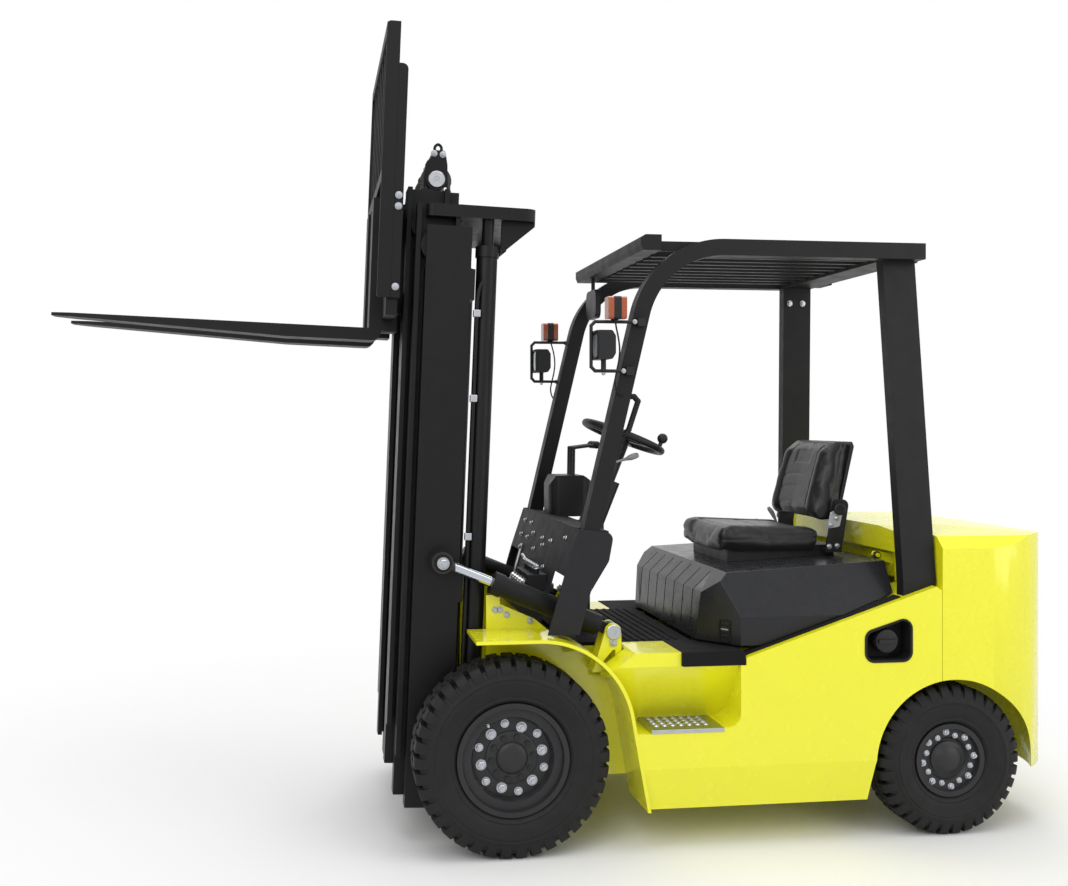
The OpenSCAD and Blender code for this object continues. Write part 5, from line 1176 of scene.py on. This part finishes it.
# Dash: bolts across its plate, a bare strap, a valve bank with its fittings, the stalk and the pedal pads
DASH_AIM = (-0.949, 0.0, 0.314)
DASH_BOLTS = ((228, 378, 1071), (228, 248, 1070), (209, 368, 1013), (217, 155, 1037), (209, 238, 1013),
              (217, -23, 1035), (218, -164, 1038), (209, -60, 1012), (199, 66, 983), (228, -366, 1070),
              (186, -170, 942))
bolts("dash_bolts", [((x - 1, y, z), DASH_AIM) for x, y, z in DASH_BOLTS], "chassis", 7.0)
strap = bmesh.new()
STRAP = ((193, 982), (188, 958), (176, 915), (150, 826))
for (x0, z0), (x1, z1) in zip(STRAP, STRAP[1:]):
    prism(strap, [(x0 - 4.5, z0), (x0 - 0.8, z0), (x1 - 0.8, z1), (x1 - 4.5, z1)], 266, 292)
piece("dash_strap", strap, brushed_tin, "chassis", "steel", edge=0.8)
bolts("strap_bolts", [((187, 279, 969), DASH_AIM), ((149, 279, 838), DASH_AIM)], "chassis", 8.0)
bank = bmesh.new()
unions = []
BANK_PITCH, BANK_Y = 46, -290
for section in range(5):
    y = BANK_Y + section * BANK_PITCH
    box(bank, (104, y, 872), (174, y + 43, 930))
    tube(bank, [(112, y + 21, 901), (92, y + 21, 901)], 13, 20)
    tube(bank, [(140, y + 21, 928), (140, y + 21, 950)], 9, 20)
    unions += [((92, y + 21, 901), (-1, 0, 0)), ((140, y + 21, 950), (0, 0, 1))]
piece("valve_bank", bank, axle_iron, "chassis", "iron", edge=2.5)
bolts("valve_unions", unions, "chassis", 12.0)
link = bmesh.new()
tube(link, curve_points([(140, -60, 960), (140, -10, 970), (150, 60, 962), (168, 130, 940)], 16), 5, 10)
tube(link, [(132, -286, 962), (132, -64, 962)], 4.5, 10)
piece("valve_links", link, zinc, "chassis", "steel")
STALK = curve_points([(508, -28, 1330), (530, -42, 1338), (556, -58, 1348), (586, -70, 1360)], 14)
STALK_RADII = [5, 5, 5, 5, 5.5, 6, 7, 9, 11, 12, 12, 12, 11, 7]
drawn("column_stalk", tube, (STALK, STALK_RADII, 14), pale_plastic, "chassis", "plastic")
pads = bmesh.new()
PEDAL_LEAN = Matrix.Translation((380, 0, 690.3)) @ Matrix.Rotation(math.radians(-25), 4, "Y")
for y in (-120, 40, 160):
    box(pads, (12.3, y - 3, 52), (17, y + 63, 133))
    for rib in range(6):
        box(pads, (16.5, y + 2, 58 + rib * 12.5), (20, y + 58, 64 + rib * 12.5))
bmesh.ops.transform(pads, matrix=PEDAL_LEAN, verts=pads.verts)
piece("pedal_pads", pads, mat_rubber, "chassis", "rubber", edge=1.5)
WHEEL_AXIS = (math.sin(math.radians(22)), 0, math.cos(math.radians(22)))
HORN = [(0, 11.4), (29, 11.4), (29, 15), (26, 18), (22, 18.6), (21, 17), (19, 20), (10, 23), (0, 24)]
drawn("horn_button", lathe, (HORN, (544, 0, 1428), WHEEL_AXIS, 40), trim_black, "steering_wheel", "plastic")

# Frame: bolts on its uprights, the tilt pins' heads and keepers, collars round the steps' holes
FRAME_BOLTS = ((-28, -350.2, 815), (-10, -350.2, 815), (14, -350.2, 796), (100, -350.2, 772))
side_bolts("frame_bolts", FRAME_BOLTS, "chassis", 9.0)
PIN_HEAD = [(0, 0.2), (25, 0.2), (27, 1.5), (27, 5), (24.5, 7), (8, 7), (7, 5.5), (0, 5.5)]
KEEPER = rounded([(370, 690), (396, 690), (396, 716), (370, 716)], 8)
keepers = bmesh.new()
for side, sign in SIDES.items():
    drawn(f"tilt_pin_head_{side}", lathe, (PIN_HEAD, (383, sign * 442, 742), (0, sign, 0), 40), zinc,
          f"tilt_barrel_{side}", "steel")
    prism(keepers, KEEPER, *sorted((sign * 436.2, sign * 440.2)))
piece("tilt_pin_keepers", keepers, zinc, "chassis", "steel", edge=0.8)
side_bolts("keeper_bolts", [(383, -440.2, 702)], "chassis", 7.5)
STEP_PITCH, STEP_TOP = 30, 425.9


def step_grid(x, y, columns, rows):
    """Spots on a step's top, from its first one."""
    return both_sides([((x + column * STEP_PITCH, y - row * STEP_PITCH, STEP_TOP), (0, 0, 1))
                       for column in range(columns) for row in range(rows)])


set_along("step_collars", "collars", step_grid(513, -432, 7, 4), zinc, "chassis", "steel", Foot_radius=12.5,
          Lip_radius=9.0, Height=4.0)
set_along("step_bumps", "collars", step_grid(528, -447, 6, 3), zinc, "chassis", "steel", Foot_radius=6.0,
          Lip_radius=2.2, Height=3.0)

# Hood: the latch in its left corner face and the seal along both side panels
HOOD_CORNER = TRUCK @ Matrix.Translation((782, -475, 742)) @ Matrix.Rotation(math.atan2(-145, 116), 4, "Z")
latch = bmesh.new()
frame_ring(latch, rounded([(-24, -40), (24, -40), (24, 40), (-24, 40)], 7),
           rounded([(-18, -34), (18, -34), (18, 34), (-18, 34)], 4), -4.5, 1.5)
for bar in (-20, -7, 20):
    box(latch, (-18.5, -3.0, bar - 3), (18.5, 0.5, bar + 3))
piece("hood_latch", latch, trim_black, "hood", "plastic", place=HOOD_CORNER, edge=1.2)
drawn("hood_latch_pull", box, ((-15, -6.0, 4), (15, -2.0, 9)), zinc, "hood", "steel", place=HOOD_CORNER,
      edge=1.2)
SEAL_X0, SEAL_X1, SEAL_Z0, SEAL_SLOPE, SEAL_T = 826.0, 1408.0, 667.8, 0.3305, 4
SEAL_Z1 = SEAL_Z0 + (SEAL_X1 - SEAL_X0) * SEAL_SLOPE
SEAL_SIDE = [(SEAL_X0, SEAL_Z0), (SEAL_X1, SEAL_Z1), (SEAL_X1, SEAL_Z1 + SEAL_T), (SEAL_X0, SEAL_Z0 + SEAL_T)]
seal = bmesh.new()
for low, high in ((-548, -500), (500, 548)):
    prism(seal, SEAL_SIDE, low, high)
piece("hood_seal", seal, mat_rubber, "chassis", "rubber", edge=1.2)

# Fuel filler: a black tub in the left panel's recess, with a ribbed cap on the neck
FILLER_X0, FILLER_X1, FILLER_LOW, FILLER_FRONT, FILLER_REAR = 1263.6, 1432.4, 640.6, 739.6, 795.4


def filler_outline(grow, radius):
    """The recess's outline, grown all round."""
    x0, x1, low = FILLER_X0 - grow, FILLER_X1 + grow, FILLER_LOW - grow
    return rounded([(x0, low), (x1, low), (x1, FILLER_REAR + grow), (x0, FILLER_FRONT + grow)], radius)


tub = bmesh.new()
frame_ring(tub, filler_outline(0, 29.4), filler_outline(-3, 26.4), -575, -505.4)
frame_ring(tub, filler_outline(6, 35.4), filler_outline(-3, 26.4), -578, -575.2)
prism(tub, filler_outline(-2, 27.4), -508, -505.4)
piece("filler_tub", tub, trim_black, "chassis", "plastic", edge=1.0)
cap = bmesh.new()
CAP_X, CAP_Z, CAP_R, CAP_RIBS = 1348, 708, 43.6, 18
CAP = [(35, -2), (35, 24), (43, 24), (44, 26), (44, 50), (41, 57), (30, 59), (0, 59), (0, 46.5), (35, 46.5),
       (35, 24)]
lathe(cap, CAP, (CAP_X, -506, CAP_Z), (0, -1, 0), 48)
for rib in range(CAP_RIBS):
    angle = 2 * math.pi * rib / CAP_RIBS
    x, z = CAP_X + CAP_R * math.cos(angle), CAP_Z + CAP_R * math.sin(angle)
    tube(cap, [(x, -533, z), (x, -555, z)], 2.6, 8)
box(cap, (CAP_X - 34, -573, CAP_Z - 7), (CAP_X + 34, -563, CAP_Z + 7))
piece("filler_cap", cap, moulded_black, "chassis", "plastic", edge=1.0)

# Overhead guard: bolts at the heads of the rear legs
GUARD_BOLTS = ((1419, -410.8, 2010), (1479, -410.8, 2010))
side_bolts("guard_bolts", GUARD_BOLTS, "chassis", 10.0, aim=1)

# Mast: bolts and discs on the chain head and backrest, pipes along the lift cylinders with their clamps
BACKREST_BOLTS = ((-457, -440, 1917), (-457, -440, 1879), (-457, -440, 1600))
side_bolts("backrest_bolts", BACKREST_BOLTS, "carriage", 10.0, place=MAST)
PIN_DISC = [(0, 0.1), (31, 0.1), (31, 3.2), (29, 5), (11, 5), (10, 3.8), (4, 3.8), (3, 5.6), (0, 5.6)]
discs = bmesh.new()
for sign in SIDES.values():
    lathe(discs, PIN_DISC, (-297, sign * 150, 2044), (0, sign, 0), 40)
piece("sheave_pin_ends", discs, zinc, "chain_head", "steel", place=MAST)
HEAD_BOLTS = ((-309, -138, 2143), (-276, -138, 2141))
side_bolts("chain_head_bolts", HEAD_BOLTS, "chain_head", 9.5, place=MAST)
GUIDE_ROUTE = ((-306, 2154), (-306, 2170), (-294, 2180), (-282, 2170), (-282, 2154))
guides = bmesh.new()
for sign in SIDES.values():
    tube(guides, curve_points([(x, sign * 128, z) for x, z in GUIDE_ROUTE], 18), 5.5, 12)
piece("hose_guides", guides, mast_black, "chain_head", "black_paint", place=MAST)
PIPE_X, PIPE_Y = -153, 334
PIPE_ROUTE = ((-134, 318, -120), (-146, 326, -92), (-152, 333, -50), (PIPE_X, PIPE_Y, 60),
              (PIPE_X, PIPE_Y, 400), (PIPE_X, PIPE_Y, 900), (PIPE_X, PIPE_Y, 1400), (PIPE_X, PIPE_Y, 1560),
              (-150, 332, 1610), (-140, 324, 1640), (-128, 312, 1656))
for side, sign in SIDES.items():
    route = curve_points([(x, sign * y, z) for x, y, z in PIPE_ROUTE], 70)
    drawn(f"lift_pipe_{side}", tube, (route, 8.0, 14), mast_black, "mast_outer", "black_paint", place=MAST)
    straps = bmesh.new()
    for z in (180, 720, 1215, 1520):
        box(straps, (PIPE_X - 13, sign * PIPE_Y - 10, z), (PIPE_X + 13, sign * PIPE_Y + 10, z + 26))
    piece(f"pipe_clamps_{side}", straps, zinc, "mast_outer", "steel", place=MAST, edge=3)
side_bolts("mast_pin_bolts", [(-250, -430, 646)], "mast_outer", 17.0, place=MAST)
LOCK_X, LOCK_Y, LOCK_Z = -447, 170, 1945
LOCK = [(0, 0), (13, 0), (13, 14), (9, 16), (9, 40), (12, 42), (12, 50), (9, 53), (0, 53)]
for side, sign in SIDES.items():
    y = sign * LOCK_Y
    lock = bmesh.new()
    lathe(lock, LOCK, (LOCK_X, y, LOCK_Z), (0, 0, 1), 28)
    tube(lock, [(LOCK_X, y - 30, LOCK_Z + 45), (LOCK_X, y + 30, LOCK_Z + 45)], 5, 12)
    piece(f"fork_lock_{side}", lock, fork_black, f"fork_{side}", "black_paint", place=MAST)
